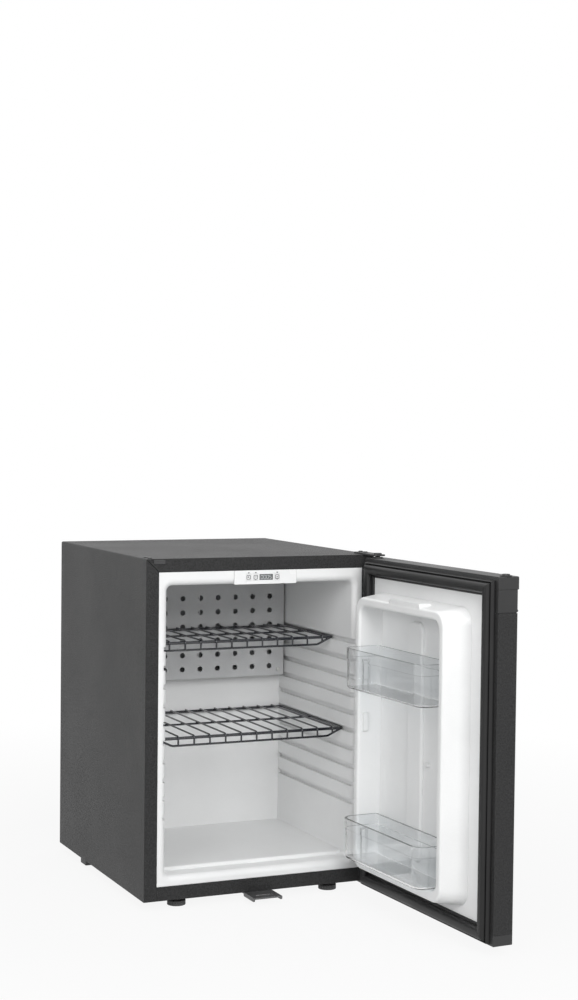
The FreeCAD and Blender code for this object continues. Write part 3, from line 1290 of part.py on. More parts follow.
def door_liner():
    edge = LINER_EDGE + SEAM
    low, high = DOOR_BOTTOM + SKIN_RETURN + SEAM, DOOR_TOP - SKIN_RETURN - SEAM
    plate = box(edge, DOOR_BACK - LINER_SHEET, low, SHELL_WIDTH - edge, DOOR_BACK, high)
    ring = ring_block(0, DOOR_BACK).cut(pocket_block(0, DOOR_BACK))
    crest = edges_where(ring, lambda p: near(p.y, RING_TOP))
    ring = ring.makeFillet(RING_EDGE, crest)
    bump = rounded_slab(
        MID_X - BUMP_WIDTH / 2, POCKET_Z1 + RING_EDGE, MID_X + BUMP_WIDTH / 2, RING_ROOT_Z1, RING_EDGE,
        RING_TOP - BUMP_DEPTH, RING_TOP - SEAM,
    )
    liner = fuse([plate, ring, bump]).cut(ring_fill())
    middle = (POCKET_X0 + POCKET_X1) / 2 + RIB_OFFSET
    rib = rounded_slab(
        middle - RIB_WIDTH / 2, POCKET_Z0 + RIB_END_GAP, middle + RIB_WIDTH / 2,
        POCKET_Z1 - RIB_END_GAP, RIB_WIDTH / 3,
        DOOR_BACK - SEAM, DOOR_BACK + RIB_HEIGHT,
    )
    rib = rib.makeFillet(RIB_HEIGHT * 0.8, edges_where(rib, lambda p: near(p.y, DOOR_BACK + RIB_HEIGHT)))
    extras = [rib]
    half = LUG_WIDTH / 2
    extras.append(
        box(LUG_X - half, DOOR_BACK - SEAM, LUG_Z, LUG_X + half, DOOR_BACK + LUG_REACH, LUG_Z + LUG_HEIGHT),
    )
    for z in (LOWER_NUB_Z, MIDDLE_NUB_Z, UPPER_NUB_Z):
        extras += nubs(z, 0)
    return fuse([liner] + extras)


def nubs(z, clearance):
    """The pair of upright nubs, one on each pocket wall, that a bin hangs on."""
    y1 = RING_TOP - NUB_SETBACK + clearance
    y0 = y1 - NUB_WIDTH - 2 * clearance
    top = z + NUB_HEIGHT + clearance
    reach = NUB_REACH + clearance
    root = SEAM
    return [
        box(POCKET_X0 - root, y0, z, POCKET_X0 + reach, y1, top),
        box(POCKET_X1 - reach, y0, z, POCKET_X1 + root, y1, top),
    ]


def door_foam():
    tongue_z = SKIN_Z1 - GRIP_TONGUE
    back = DOOR_BACK - LINER_SHEET
    main = box(SHEET, DOOR_FRONT + SHEET, SKIN_Z0, SHELL_WIDTH - SHEET, back, tongue_z)
    main = round_upright_front(main, DOOR_FRONT + SHEET, DOOR_EDGE_RADIUS - SHEET)
    wall = TRIM_WALL
    high = box(wall, DOOR_FRONT + wall, tongue_z, SHELL_WIDTH - wall, back, TOP_TRIM_Z)
    high = round_upright_front(high, DOOR_FRONT + wall, DOOR_EDGE_RADIUS - wall)
    return fuse([main, high, ring_fill()])


def gasket_bar(inset, width, y0, y1):
    """Rectangular frame round the door's inner face, inset from the gasket's outer edge."""
    x0 = GASKET_SIDE_INSET + inset
    x1 = SHELL_WIDTH - x0
    z0, z1 = DOOR_BOTTOM + GASKET_FOOT_INSET + inset, DOOR_TOP - GASKET_TOP_INSET - inset
    outer = box(x0, y0, z0, x1, y1, z1)
    return outer.cut(box(x0 + width, y0 - OVERCUT, z0 + width, x1 - width, y1 + OVERCUT, z1 - width))


def door_gasket():
    base_y = DOOR_BACK + GASKET_BASE
    base = gasket_bar(0, GASKET_WIDTH, DOOR_BACK, base_y)
    bulb = gasket_bar(BULB_INSET, BULB_WIDTH, base_y, -GASKET_SEAL_GAP)
    bulb = bulb.makeFillet(BULB_ROUND, edges_where(bulb, lambda p: near(p.y, -GASKET_SEAL_GAP)))
    lip = gasket_bar(LIP_INSET, LIP_WIDTH, base_y, base_y + LIP_HEIGHT)
    return fuse([base, bulb, lip])


def bin_block(inset, z0, z1):
    """A bin's outline as a solid, inset from its outside."""
    x0, x1 = POCKET_X0 + BIN_END_GAP + inset, POCKET_X1 - BIN_END_GAP - inset
    y0 = DOOR_BACK + RIB_HEIGHT + BIN_BACK_GAP + inset
    y1 = DOOR_BACK + BIN_REACH - inset
    block = box(x0, y0, z0, x1, y1, z1)
    upright = [e for e in block.Edges if e.BoundBox.ZLength > 1]
    front = [e for e in upright if near(e.BoundBox.YMin, y1)]
    block = block.makeFillet(BIN_FRONT_CORNER - inset, front)
    rear = [e for e in block.Edges if e.BoundBox.ZLength > 1 and near(e.BoundBox.YMax, y0)]
    return block.makeFillet(BIN_BACK_CORNER - inset, rear)


def door_bin(nub):
    """Clear bin with a stepped band round its top and a groove at each end for its nub."""
    z0 = nub - BIN_NUB_RISE
    z1 = z0 + BIN_HEIGHT
    lower = bin_block(BIN_BAND_STEP, z0, z1)
    lower = lower.makeFillet(BIN_FOOT_ROUND, edges_where(lower, lambda p: near(p.z, z0)))
    band = bin_block(0, z1 - BIN_BAND, z1)
    inner = bin_block(BIN_BAND_STEP + BIN_WALL, z0 + BIN_WALL, z1 + OVERCUT)
    low_edge = edges_where(inner, lambda p: near(p.z, z0 + BIN_WALL))
    inner = inner.makeFillet(BIN_FOOT_ROUND - BIN_WALL, low_edge)
    reach_down = BIN_NUB_RISE + OVERCUT
    grooves, keepers = [], []
    for groove in nubs(nub, RUN_GAP):
        r = groove.BoundBox
        grooves.append(box(r.XMin, r.YMin, r.ZMin - reach_down, r.XMax, r.YMax, r.ZMax))
        wall = BIN_WALL
        keepers.append(box(
            r.XMin - wall, r.YMin - wall, r.ZMin - reach_down, r.XMax + wall, r.YMax + wall, r.ZMax + wall,
        ))
    shell = fuse([lower, band]).cut(cut(inner, keepers))
    return cut(shell, grooves)


def door_hole_plug():
    x = SHELL_WIDTH - HINGE_X
    at = lambda z: Vector(x, HINGE_Y, z)
    seat = DOOR_TOP + BUSH_FLANGE_HEIGHT
    crown = seat + HOLE_PLUG_KNOB_HEIGHT
    knob = rod(at(seat), at(crown), HOLE_PLUG_KNOB)
    knob = knob.makeFillet(HOLE_PLUG_KNOB_HEIGHT / 2, edges_where(knob, lambda p: near(p.z, crown)))
    flange = rod(at(DOOR_TOP), at(seat), BUSH_FLANGE)
    return fuse([knob, flange, rod(at(DOOR_TOP - BUSH_LENGTH), at(DOOR_TOP), BUSH_DIAMETER)])


# Lock
def lock_barrel():
    axis = lambda y: Vector(KEEPER_X, y, LOCK_Z)
    back = CAM_FRONT - RUN_GAP
    head = rod(axis(DOOR_FRONT - LOCK_HEAD_HEIGHT), axis(DOOR_FRONT), LOCK_HEAD)
    body = rod(axis(DOOR_FRONT), axis(back), LOCK_BARREL)
    bore = rod(axis(DOOR_FRONT - LOCK_HEAD_HEIGHT - OVERCUT), axis(back + OVERCUT), LOCK_PLUG + 2 * PIN_GAP)
    return fuse([head, body]).cut(bore)


def lock_cam():
    """Key plug with the flat cam on its inner end, cam lying flat along the door."""
    axis = lambda y: Vector(KEEPER_X, y, LOCK_Z)
    front = DOOR_FRONT - LOCK_HEAD_HEIGHT
    plug = rod(axis(front), axis(CAM_BACK), LOCK_PLUG)
    half_w, half_h = KEY_SLOT_WIDTH / 2, KEY_SLOT_LENGTH / 2
    key_slot = box(
        KEEPER_X - half_w, front - OVERCUT, LOCK_Z - half_h, KEEPER_X + half_w,
        front + KEY_SLOT_DEPTH, LOCK_Z + half_h,
    )
    hub = rod(axis(CAM_FRONT), axis(CAM_BACK), CAM_HUB)
    tip_x = KEEPER_X - CAM_LENGTH + CAM_WIDTH / 2
    arm = box(tip_x, CAM_FRONT, LOCK_Z - CAM_WIDTH / 2, KEEPER_X, CAM_BACK, LOCK_Z + CAM_WIDTH / 2)
    tip = rod(Vector(tip_x, CAM_FRONT, LOCK_Z), Vector(tip_x, CAM_BACK, LOCK_Z), CAM_WIDTH)
    return fuse([plug.cut(key_slot), hub, arm, tip])


def main():
    os.makedirs("parts", exist_ok=True)
    outside = tub_outside()
    save("cabinet_wrapper", cabinet_wrapper())
    save("base_pan", base_pan())
    save("rear_sheet", rear_sheet())
    save("cabinet_foam", cabinet_foam(outside))
    save("inner_liner", inner_liner(outside))
    save("evaporator_cover", evaporator_cover())
    save("cover_screws", *[screw(*s) for s in COVER_SCREWS])
    save("evaporator_fins", evaporator_fins())
    save("evaporator_tube", evaporator_tube(TUBE))
    save("drip_tray", drip_tray())
    save("sensor_probe", sensor_probe())
    save("boiler", boiler())
    save("heater_cartridge", heater_cartridge())
    save("condenser", condenser())
    save("condenser_fins", *condenser_fins())
    save("absorber_coil", absorber_coil())
    save("absorber_vessel", absorber_vessel())
    save("liquid_line", liquid_line())
    save("unit_brackets", *unit_brackets())
    save("supply_box", supply_box())
    save("mains_inlet", mains_inlet())
    save("control_fascia", control_fascia())
    save("control_case", control_case())
    save("control_board", control_board())
    save("control_display", control_display())
    for name, x in key_spots().items():
        save(name, control_button(x))
    save("lamp_lens", lamp_lens())
    save("flange_plug", flange_plug())
    save("spare_hole_plugs", *[screw(*s) for s in SPARE_PLUGS])
    save("top_hinge", hinge_plate(SHELL_HEIGHT, TOP_SCREWS))
    save("bottom_hinge", hinge_plate(-HINGE_PLATE, BOTTOM_SCREWS))
    save("top_hinge_pin", top_hinge_pin())
    save("bottom_hinge_pin", bottom_hinge_pin())
    save("hinge_screws", *[screw(*s) for s in TOP_SCREWS + BOTTOM_SCREWS])
    for name, x in FOOT_SPOTS.items():
        save(name, screw_foot().translated(Vector(x, 0, 0)))
    save("rear_feet", *rear_feet())
    save("lock_keeper", lock_keeper())
    save("keeper_screws", *[screw(*s) for s in KEEPER_SCREWS])
    shelf_room = SHELF_BACK_GAP + FRAME_WIRE / 2
    save("upper_shelf", wire_shelf(UPPER_SHELF_STEP_COUNT, UPPER_SHELF_FRONT, COVER_Y0 - shelf_room))
    save("lower_shelf", wire_shelf(LOWER_SHELF_STEP_COUNT, LOWER_SHELF_FRONT, TUB_DEPTH - shelf_room))
    save("door_skin", door_skin(), on_door=True)
    save("door_grip_rail", door_grip_rail(), on_door=True)
    save("door_top_trim", door_top_trim(), on_door=True)
    save("door_bottom_trim", door_bottom_trim(), on_door=True)
    save("door_foam", door_foam(), on_door=True)
    save("door_liner", door_liner(), on_door=True)
    save("door_gasket", door_gasket(), on_door=True)
    save("lower_bin", door_bin(LOWER_NUB_Z), on_door=True)
    save("upper_bin", door_bin(UPPER_NUB_Z), on_door=True)
    save("top_bush", hinge_bush(DOOR_TOP - BUSH_LENGTH, DOOR_TOP, DOOR_TOP), on_door=True)
    save("bottom_bush", hinge_bush(DOOR_BOTTOM, DOOR_BOTTOM + BUSH_LENGTH, None), on_door=True)
    save("door_hole_plug", door_hole_plug(), on_door=True)
    save("lock_barrel", lock_barrel(), on_door=True)
    save("lock_cam", lock_cam(), on_door=True)


main()
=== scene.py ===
import json
import math

import bmesh
import bpy
from bpy.props import FloatProperty, FloatVectorProperty, IntProperty, PointerProperty, StringProperty
from mathutils import Matrix, Vector


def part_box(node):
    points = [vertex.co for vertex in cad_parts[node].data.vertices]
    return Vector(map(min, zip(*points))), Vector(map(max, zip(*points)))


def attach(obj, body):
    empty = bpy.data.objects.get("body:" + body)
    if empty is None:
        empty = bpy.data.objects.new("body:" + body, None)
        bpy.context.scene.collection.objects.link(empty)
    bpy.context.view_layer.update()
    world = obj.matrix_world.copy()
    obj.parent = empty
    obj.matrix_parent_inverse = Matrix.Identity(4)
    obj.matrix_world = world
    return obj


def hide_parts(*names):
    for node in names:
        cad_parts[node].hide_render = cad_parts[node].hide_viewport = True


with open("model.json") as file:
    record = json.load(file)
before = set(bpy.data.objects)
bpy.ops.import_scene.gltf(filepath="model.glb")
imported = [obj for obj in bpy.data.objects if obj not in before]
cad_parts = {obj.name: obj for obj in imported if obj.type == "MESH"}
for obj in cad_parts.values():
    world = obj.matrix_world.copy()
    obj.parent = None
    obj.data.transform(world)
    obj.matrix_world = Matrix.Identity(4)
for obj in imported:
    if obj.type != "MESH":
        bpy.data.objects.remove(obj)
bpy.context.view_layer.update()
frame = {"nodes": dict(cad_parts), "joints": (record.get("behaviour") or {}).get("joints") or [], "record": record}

bl_info = {
    "name": "Minibar fridge",
    "version": (1, 0, 0),
    "blender": (4, 5, 0),
    "location": "3D View > Sidebar > Minibar",
    "description": "Dresses a small hotel fridge whose solids come from a packed frame",
    "category": "Object",
}

MM = 0.001
WHITE = (1.0, 1.0, 1.0, 1.0)
JOINTS = {joint["name"]: joint for joint in frame["joints"]}


class StageSettings(bpy.types.PropertyGroup):
    """Camera and floor"""

    camera_place: FloatVectorProperty(
        name="Camera place", description="Where the camera stands", subtype="TRANSLATION", unit="LENGTH",
        default=(-1.1636, -2.8956, 0.7722),
    )
    camera_yaw: FloatProperty(
        name="Yaw", description="How far the camera turns to the right of straight back", subtype="ANGLE",
        default=math.radians(24.338),
    )
    camera_pitch: FloatProperty(
        name="Pitch", description="How far the camera looks down", subtype="ANGLE",
        default=math.radians(2.316),
    )
    camera_roll: FloatProperty(
        name="Roll", description="How far the camera leans", subtype="ANGLE", default=math.radians(0.637),
    )
    lens: FloatProperty(
        name="Lens", description="Focal length for 36 mm along the picture's longer side",
        subtype="DISTANCE_CAMERA", default=64.83,
    )
    floor_size: FloatProperty(
        name="Floor", description="Side of the square floor", unit="LENGTH", default=14.0,
    )
    floor_tone: FloatProperty(
        name="Floor tone", description="How far the floor is lifted to white where the camera sees it",
        subtype="FACTOR", default=0.9, min=0.0, max=1.0,
    )


class FinishSettings(bpy.types.PropertyGroup):
    """Main colours"""

    shell: FloatVectorProperty(
        name="Shell", description="Textured paint of cabinet and door", subtype="COLOR",
        default=(0.028, 0.028, 0.0285),
    )
    trim: FloatVectorProperty(
        name="Trim", description="Moulded ends of the door", subtype="COLOR",
        default=(0.021, 0.021, 0.0215),
    )
    liner: FloatVectorProperty(
        name="Liner", description="White moulded linings", subtype="COLOR", default=(0.83, 0.835, 0.835),
    )
    cover: FloatVectorProperty(
        name="Cover", description="Perforated cover", subtype="COLOR", default=(0.54, 0.545, 0.55),
    )
    gasket: FloatVectorProperty(
        name="Gasket", description="Door seal", subtype="COLOR", default=(0.006, 0.006, 0.0062),
    )
    wire: FloatVectorProperty(
        name="Wire", description="Coated shelf wire", subtype="COLOR", default=(0.011, 0.0125, 0.018),
    )
    bins: FloatVectorProperty(
        name="Bins", description="Clear door bins", subtype="COLOR", default=(0.97, 0.972, 0.974),
    )


class GasketSettings(bpy.types.PropertyGroup):
    """Section of the door seal"""

    rib_height: FloatProperty(
        name="Outer lip", description="Height of the thin outer lip", unit="LENGTH", default=3.5 * MM,
    )
    base_height: FloatProperty(
        name="Base", description="Thickness of the flat base", unit="LENGTH", default=3.5 * MM,
    )
    bulb_inset: FloatProperty(
        name="Bulb inset", description="From the outer edge to the soft bulb", unit="LENGTH",
        default=4.0 * MM,
    )
    bulb_width: FloatProperty(
        name="Bulb width", description="Width of the soft bulb", unit="LENGTH", default=16.0 * MM,
    )


class ShelfSettings(bpy.types.PropertyGroup):
    """Wires of a shelf"""

    frame_wire: FloatProperty(
        name="Frame wire", description="Diameter of the frame", unit="LENGTH", default=5.0 * MM,
    )
    cross_wire: FloatProperty(
        name="Cross wire", description="Diameter of the cross wires", unit="LENGTH", default=3.0 * MM,
    )
    rail_wire: FloatProperty(
        name="Front rail", description="Diameter of the front rail", unit="LENGTH", default=3.6 * MM,
    )
    cross_count: IntProperty(
        name="Cross wires", description="How many wires run from front to back", default=12, min=2,
    )
    cross_pitch: FloatProperty(
        name="Pitch", description="Spacing of the cross wires", unit="LENGTH", default=27.65 * MM,
    )
    cross_shift: FloatProperty(
        name="Shift", description="How far the cross wires stand off the middle", unit="LENGTH",
        default=-5.2 * MM,
    )
    cross_bend: FloatProperty(
        name="Cross bend", description="Bend of the cross wires at the front", unit="LENGTH",
        default=4.0 * MM,
    )
    corner: FloatProperty(
        name="Corner", description="Bend of the frame at its corners", unit="LENGTH", default=7.0 * MM,
    )
    sweep: FloatProperty(
        name="Sweep", description="Length of the front rail's rising ends", unit="LENGTH",
        default=26.0 * MM,
    )
    lap: FloatProperty(
        name="Weld", description="How far welded wires sink into each other", unit="LENGTH",
        default=0.6 * MM,
    )
    lip: FloatProperty(
        name="Lip", description="Drop from the frame to the front rail", unit="LENGTH", default=12.0 * MM,
    )


class ControlSettings(bpy.types.PropertyGroup):
    """Marks of the display and the keys"""

    digits: StringProperty(name="Digits", description="Digits that the display shows", default="0005")
    digit_stroke: FloatProperty(
        name="Digit stroke", description="Width of the digits' strokes", unit="LENGTH", default=0.75 * MM,
    )
    key_stroke: FloatProperty(
        name="Key stroke", description="Width of the strokes on the keys", unit="LENGTH",
        default=0.85 * MM,
    )
    square: FloatProperty(
        name="Square", description="Side of the rounded square on a key", unit="LENGTH", default=6.2 * MM,
    )
    square_corner: FloatProperty(
        name="Square corner", description="Rounding of the square", unit="LENGTH", default=1.2 * MM,
    )


class MinibarSettings(bpy.types.PropertyGroup):
    """All settings of the fridge"""

    stage: PointerProperty(type=StageSettings)
    finish: PointerProperty(type=FinishSettings)
    gasket: PointerProperty(type=GasketSettings)
    shelf: PointerProperty(type=ShelfSettings)
    controls: PointerProperty(type=ControlSettings)


# Where things are

def unit(axis):
    """Unit vector along X, Y or Z."""
    return Vector(1.0 if index == axis else 0.0 for index in range(3))


def box_of(points):
    """Lowest and highest corner of some points."""
    low = Vector(min(point[axis] for point in points) for axis in range(3))
    high = Vector(max(point[axis] for point in points) for axis in range(3))
    return low, high


def node_box(node):
    """Lowest and highest corner of a node."""
    low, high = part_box(node)
    return Vector(low), Vector(high)


def shut_to_rest():
    """Matrix that turns a point of the shut door to where the door stands."""
    swing = JOINTS["door_swing"]
    pivot = Vector(swing["pos_m"])
    turn = Matrix.Rotation(-math.radians(swing["range_deg"][0]), 4, Vector(swing["axis"]))
    return Matrix.Translation(pivot) @ turn @ Matrix.Translation(-pivot)


def shut_box(node):
    """Lowest and highest corner of a door node with the door shut."""
    back = shut_to_rest().inverted()
    return box_of([back @ vertex.co for vertex in frame["nodes"][node].data.vertices])


# Shapes as lists of vertices and faces

def around(first, second, steps):
    """Directions all round, from the first of two crossed unit vectors towards the second."""
    turns = [2 * math.pi * step / steps for step in range(steps)]
    return [first * math.cos(turn) + second * math.sin(turn) for turn in turns]


def bands(rings, sides, closed=False):
    """Faces from each ring of vertices to the next, and from the last to the first if closed."""
    faces = []
    for ring in range(rings if closed else rings - 1):
        here, there = ring * sides, (ring + 1) % rings * sides
        for side in range(sides):
            after = (side + 1) % sides
            faces.append((here + side, here + after, there + after, there + side))
    return faces


def capped(rings, sides):
    """Faces of a row of rings whose first and last ring are filled."""
    first = (0, *range(sides - 1, 0, -1))
    last = tuple(range((rings - 1) * sides, rings * sides))
    return bands(rings, sides) + [first, last]


def rounded_path(points, bend, steps=6):
    """Polyline whose corners are arcs of one radius."""
    path = [points[0]]
    for before, corner, after in zip(points, points[1:], points[2:]):
        back = (before - corner).normalized()
        ahead = (after - corner).normalized()
        half = back.angle(ahead) / 2
        reach = bend / math.tan(half)
        centre = corner + (back + ahead).normalized() * (bend / math.sin(half))
        start = corner + back * reach - centre
        sweep = math.pi - 2 * half
        axis = back.cross(ahead).normalized()
        for step in range(steps + 1):
            path.append(centre + Matrix.Rotation(-sweep * step / steps, 3, axis) @ start)
    return path + [points[-1]]


def tube(path, radius, sides):
    """Closed round tube along a path."""
    verts = []
    across = None
    for index, point in enumerate(path):
        before = path[max(index - 1, 0)]
        after = path[min(index + 1, len(path) - 1)]
        along = (after - before).normalized()
        if across is None:
            across = along.orthogonal().normalized()
        across = (across - along * across.dot(along)).normalized()
        verts += [point + way * radius for way in around(across, along.cross(across), sides)]
    return verts, capped(len(path), sides)


def joined(shapes):
    """One shape from several."""
    verts, faces = [], []
    for more_verts, more_faces in shapes:
        start = len(verts)
        verts += more_verts
        faces += [tuple(index + start for index in face) for face in more_faces]
    return verts, faces


# Objects

def placed(name, data):
    """New object in the scene."""
    made = bpy.data.objects.new(name, data)
    bpy.context.collection.objects.link(made)
    return made


def new_piece(name, verts, faces, body, slot, finish=None, replaces=(), crease=40.0):
    """Piece that rides on a body, smooth up to the crease angle, with its slot's finish or its own."""
    mesh = bpy.data.meshes.new(name)
    mesh.from_pydata([tuple(point) for point in verts], [], faces)
    shape = bmesh.new()
    shape.from_mesh(mesh)
    bmesh.ops.recalc_face_normals(shape, faces=shape.faces)
    shape.to_mesh(mesh)
    shape.free()
    mesh.shade_smooth()
    mesh.set_sharp_from_angle(angle=math.radians(crease))
    mesh.materials.append(finish_for(finish or slot))
    piece = placed(name, mesh)
    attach(piece, body)
    if replaces:
        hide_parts(*replaces)
    return piece


# Shader nodes

# Sockets of a Mix node between colours, which shares its socket names with its other kinds
MIX_FACTOR, MIX_FIRST, MIX_SECOND, MIX_RESULT = 0, 6, 7, 2


def add(tree, kind, **settings):
    """Node with settings on itself or, by socket name, on its inputs."""
    made = tree.nodes.new(kind)
    for label, value in settings.items():
        if hasattr(made, label):
            setattr(made, label, value)
        else:
            made.inputs[label.replace("_", " ")].default_value = value
    return made


def ramp(tree, source, low, high, to_low=0.0, to_high=1.0):
    """Value taken from one span to another."""
    made = add(tree, "ShaderNodeMapRange", From_Min=low, From_Max=high, To_Min=to_low, To_Max=to_high)
    tree.links.new(source, made.inputs["Value"])
    return made.outputs["Result"]


def combined(tree, operation, first, second):
    """Two values in one Math node."""
    made = add(tree, "ShaderNodeMath", operation=operation)
    tree.links.new(first, made.inputs[0])
    tree.links.new(second, made.inputs[1])
    return made.outputs[0]


def any_ray(tree, *labels):
    """One for rays of any of these kinds, and zero for others."""
    rays = add(tree, "ShaderNodeLightPath")
    found = rays.outputs[labels[0]]
    for label in labels[1:]:
        found = combined(tree, "MAXIMUM", found, rays.outputs[label])
    return found


def mix_colours(tree, factor, first, second, blend_type="MIX"):
    """Mix of two colours, each of them plain or from another node."""
    mixed = add(tree, "ShaderNodeMix", data_type="RGBA", blend_type=blend_type)
    tree.links.new(factor, mixed.inputs[MIX_FACTOR])
    for index, colour in ((MIX_FIRST, first), (MIX_SECOND, second)):
        if isinstance(colour, bpy.types.NodeSocket):
            tree.links.new(colour, mixed.inputs[index])
        else:
            mixed.inputs[index].default_value = colour
    return mixed.outputs[MIX_RESULT]


def mix_shaders(tree, factor, first, second, output):
    """Mix of two shader nodes, as the surface of an output node."""
    blend = add(tree, "ShaderNodeMixShader")
    for source, socket in zip((factor, first.outputs[0], second.outputs[0]), blend.inputs):
        tree.links.new(source, socket)
    tree.links.new(blend.outputs[0], tree.nodes[output].inputs["Surface"])


# Shared effects as shader node groups

def new_group(name, inputs, outputs):
    """Empty node group with its sockets, and its input and output nodes."""
    group = bpy.data.node_groups.new(name, "ShaderNodeTree")
    for label, kind, default in inputs:
        group.interface.new_socket(label, in_out="INPUT", socket_type=kind).default_value = default
    for label, kind in outputs:
        group.interface.new_socket(label, in_out="OUTPUT", socket_type=kind)
    return group, group.nodes.new("NodeGroupInput"), group.nodes.new("NodeGroupOutput")


def noise_of(group, size, **settings):
    """Noise fixed to the piece, with grains of the size that a socket gives."""
    place = add(group, "ShaderNodeTexCoord")
    scale = add(group, "ShaderNodeMath", operation="DIVIDE")
    scale.inputs[0].default_value = 1.0
    group.links.new(size, scale.inputs[1])
    noise = add(group, "ShaderNodeTexNoise", **settings)
    group.links.new(place.outputs["Object"], noise.inputs["Vector"])
    group.links.new(scale.outputs[0], noise.inputs["Scale"])
    return noise.outputs["Fac"]


def grain_group():
    """Fine even texture, as on powder coat or moulded plastic."""
    group, into, out = new_group(
        "Fine grain", [("Size", "NodeSocketFloat", 1.0 * MM)],
        [("Height", "NodeSocketFloat"), ("Speckle", "NodeSocketFloat")],
    )
    noise = noise_of(group, into.outputs["Size"], Detail=3.0, Roughness=0.6)
    group.links.new(ramp(group, noise, low=0.3, high=0.7), out.inputs["Height"])
    group.links.new(ramp(group, noise, low=0.42, high=0.62), out.inputs["Speckle"])
    return group


def handling_group():
    """Broad uneven patches where a surface has been wiped and touched."""
    group, into, out = new_group(
        "Handling", [("Size", "NodeSocketFloat", 120.0 * MM)], [("Patches", "NodeSocketFloat")],
    )
    noise = noise_of(group, into.outputs["Size"], Detail=4.0, Roughness=0.55, Distortion=0.4)
    group.links.new(ramp(group, noise, low=0.35, high=0.65), out.inputs["Patches"])
    return group


def edge_group():
    """Rounded edges for the light, and a mask of the edges: edges that rub bare, a painted highlight on the
    keeper's edges and painted dark rims on the bins.
    """
    group, into, out = new_group(
        "Soft edges", [("Radius", "NodeSocketFloat", 1.0 * MM)],
        [("Normal", "NodeSocketVector"), ("Wear and painted edge shading", "NodeSocketFloat")],
    )
    bevel = add(group, "ShaderNodeBevel", samples=4)
    group.links.new(into.outputs["Radius"], bevel.inputs["Radius"])
    flat = add(group, "ShaderNodeNewGeometry")
    agree = add(group, "ShaderNodeVectorMath", operation="DOT_PRODUCT")
    group.links.new(bevel.outputs["Normal"], agree.inputs[0])
    group.links.new(flat.outputs["Normal"], agree.inputs[1])
    group.links.new(bevel.outputs["Normal"], out.inputs["Normal"])
    group.links.new(ramp(group, agree.outputs["Value"], low=0.98, high=0.8), out.inputs["Wear and painted edge shading"])
    return group


GROUP_MAKERS = {"Fine grain": grain_group, "Handling": handling_group, "Soft edges": edge_group}
GROUPS = {}


def effect(tree, name, **values):
    """Shared effect placed in a material with its own values."""
    if name not in GROUPS:
        GROUPS[name] = GROUP_MAKERS[name]()
    made = tree.nodes.new("ShaderNodeGroup")
    made.node_tree = GROUPS[name]
    for label, value in values.items():
        made.inputs[label].default_value = value
    return made


# Finishes

# Depth of a surface's grains as a share of their size
GRAIN_DEPTH = 0.4


def colours():
    """The colours that a user sets."""
    return bpy.context.scene.minibar.finish


def tinted(colour, factor):
    """Colour made lighter or darker, with full alpha."""
    return (*[min(1.0, channel * factor) for channel in colour], 1.0)


def principled(name, colour, roughness, **sockets):
    """New material with a Principled shader and its plain values."""
    material = bpy.data.materials.new(name)
    material.use_nodes = True
    shader = material.node_tree.nodes["Principled BSDF"]
    shader.inputs["Base Color"].default_value = (*colour, 1.0)
    shader.inputs["Roughness"].default_value = roughness
    for label, value in sockets.items():
        shader.inputs[label.replace("_", " ")].default_value = value
    return material, material.node_tree, shader


def patchy(tree, colour, wiped, spread):
    """Colour that is darker and lighter in the wiped patches."""
    patches = wiped.outputs["Patches"]
    return mix_colours(tree, patches, tinted(colour, 1 - spread), tinted(colour, 1 + spread))


def vary_roughness(tree, shader, mask, rough, low=0.0, high=1.0):
    """Roughness between two values, where the mask goes from low to high."""
    tree.links.new(ramp(tree, mask, low, high, *rough), shader.inputs["Roughness"])


def relief(tree, shader, edges, height, strength, depth):
    """Raised grain over softened edges."""
    raised = add(tree, "ShaderNodeBump", Strength=strength, Distance=depth)
    tree.links.new(height, raised.inputs["Height"])
    tree.links.new(edges.outputs["Normal"], raised.inputs["Normal"])
    tree.links.new(raised.outputs["Normal"], shader.inputs["Normal"])


def textured(name, colour, rough, grain, bump, edge, wear_and_highlight=1.0, spread=0.18, speckle=0.06, **sockets):
    """Painted or moulded surface: grain, wiped patches and softened edges that are lightened as rubbed, and on the
    keeper also as a painted highlight.
    """
    material, tree, shader = principled(name, colour, sum(rough) / 2, **sockets)
    fine = effect(tree, "Fine grain", Size=grain)
    wiped = effect(tree, "Handling", Size=120.0 * MM)
    edges = effect(tree, "Soft edges", Radius=edge)
    body = patchy(tree, colour, wiped, spread)
    dark = tinted((1 - speckle,) * 3, 1.0)
    speckled = mix_colours(tree, fine.outputs["Speckle"], body, dark, blend_type="MULTIPLY")
    rubbed_and_lit_edges = mix_colours(tree, edges.outputs["Wear and painted edge shading"], speckled, tinted(colour, wear_and_highlight))
    tree.links.new(rubbed_and_lit_edges, shader.inputs["Base Color"])
    vary_roughness(tree, shader, wiped.outputs["Patches"], rough)
    relief(tree, shader, edges, fine.outputs["Height"], bump, GRAIN_DEPTH * grain)
    return material


def metal(name, colour, rough, streak, stretch, edge, spread=0.12):
    """Bare metal with fine drawn streaks and dulled patches."""
    material, tree, shader = principled(name, colour, sum(rough) / 2, Metallic=1.0)
    place = add(tree, "ShaderNodeTexCoord")
    drawn = add(tree, "ShaderNodeMapping")
    drawn.inputs["Scale"].default_value = stretch
    tree.links.new(place.outputs["Object"], drawn.inputs["Vector"])
    lines = add(tree, "ShaderNodeTexNoise", Scale=1 / streak, Detail=4.0, Roughness=0.65)
    tree.links.new(drawn.outputs["Vector"], lines.inputs["Vector"])
    wiped = effect(tree, "Handling", Size=50.0 * MM)
    edges = effect(tree, "Soft edges", Radius=edge)
    tree.links.new(patchy(tree, colour, wiped, spread), shader.inputs["Base Color"])
    vary_roughness(tree, shader, lines.outputs["Fac"], rough, low=0.3, high=0.7)
    relief(tree, shader, edges, lines.outputs["Fac"], strength=0.08, depth=0.1 * MM)
    return material


def shell_paint():
    return textured(
        "shell_paint", colours().shell, rough=(0.44, 0.48), grain=2.2 * MM, bump=0.55, edge=1.0 * MM,
        wear_and_highlight=1.6, spread=0.03, speckle=0.5, Specular_IOR_Level=0.25,
    )


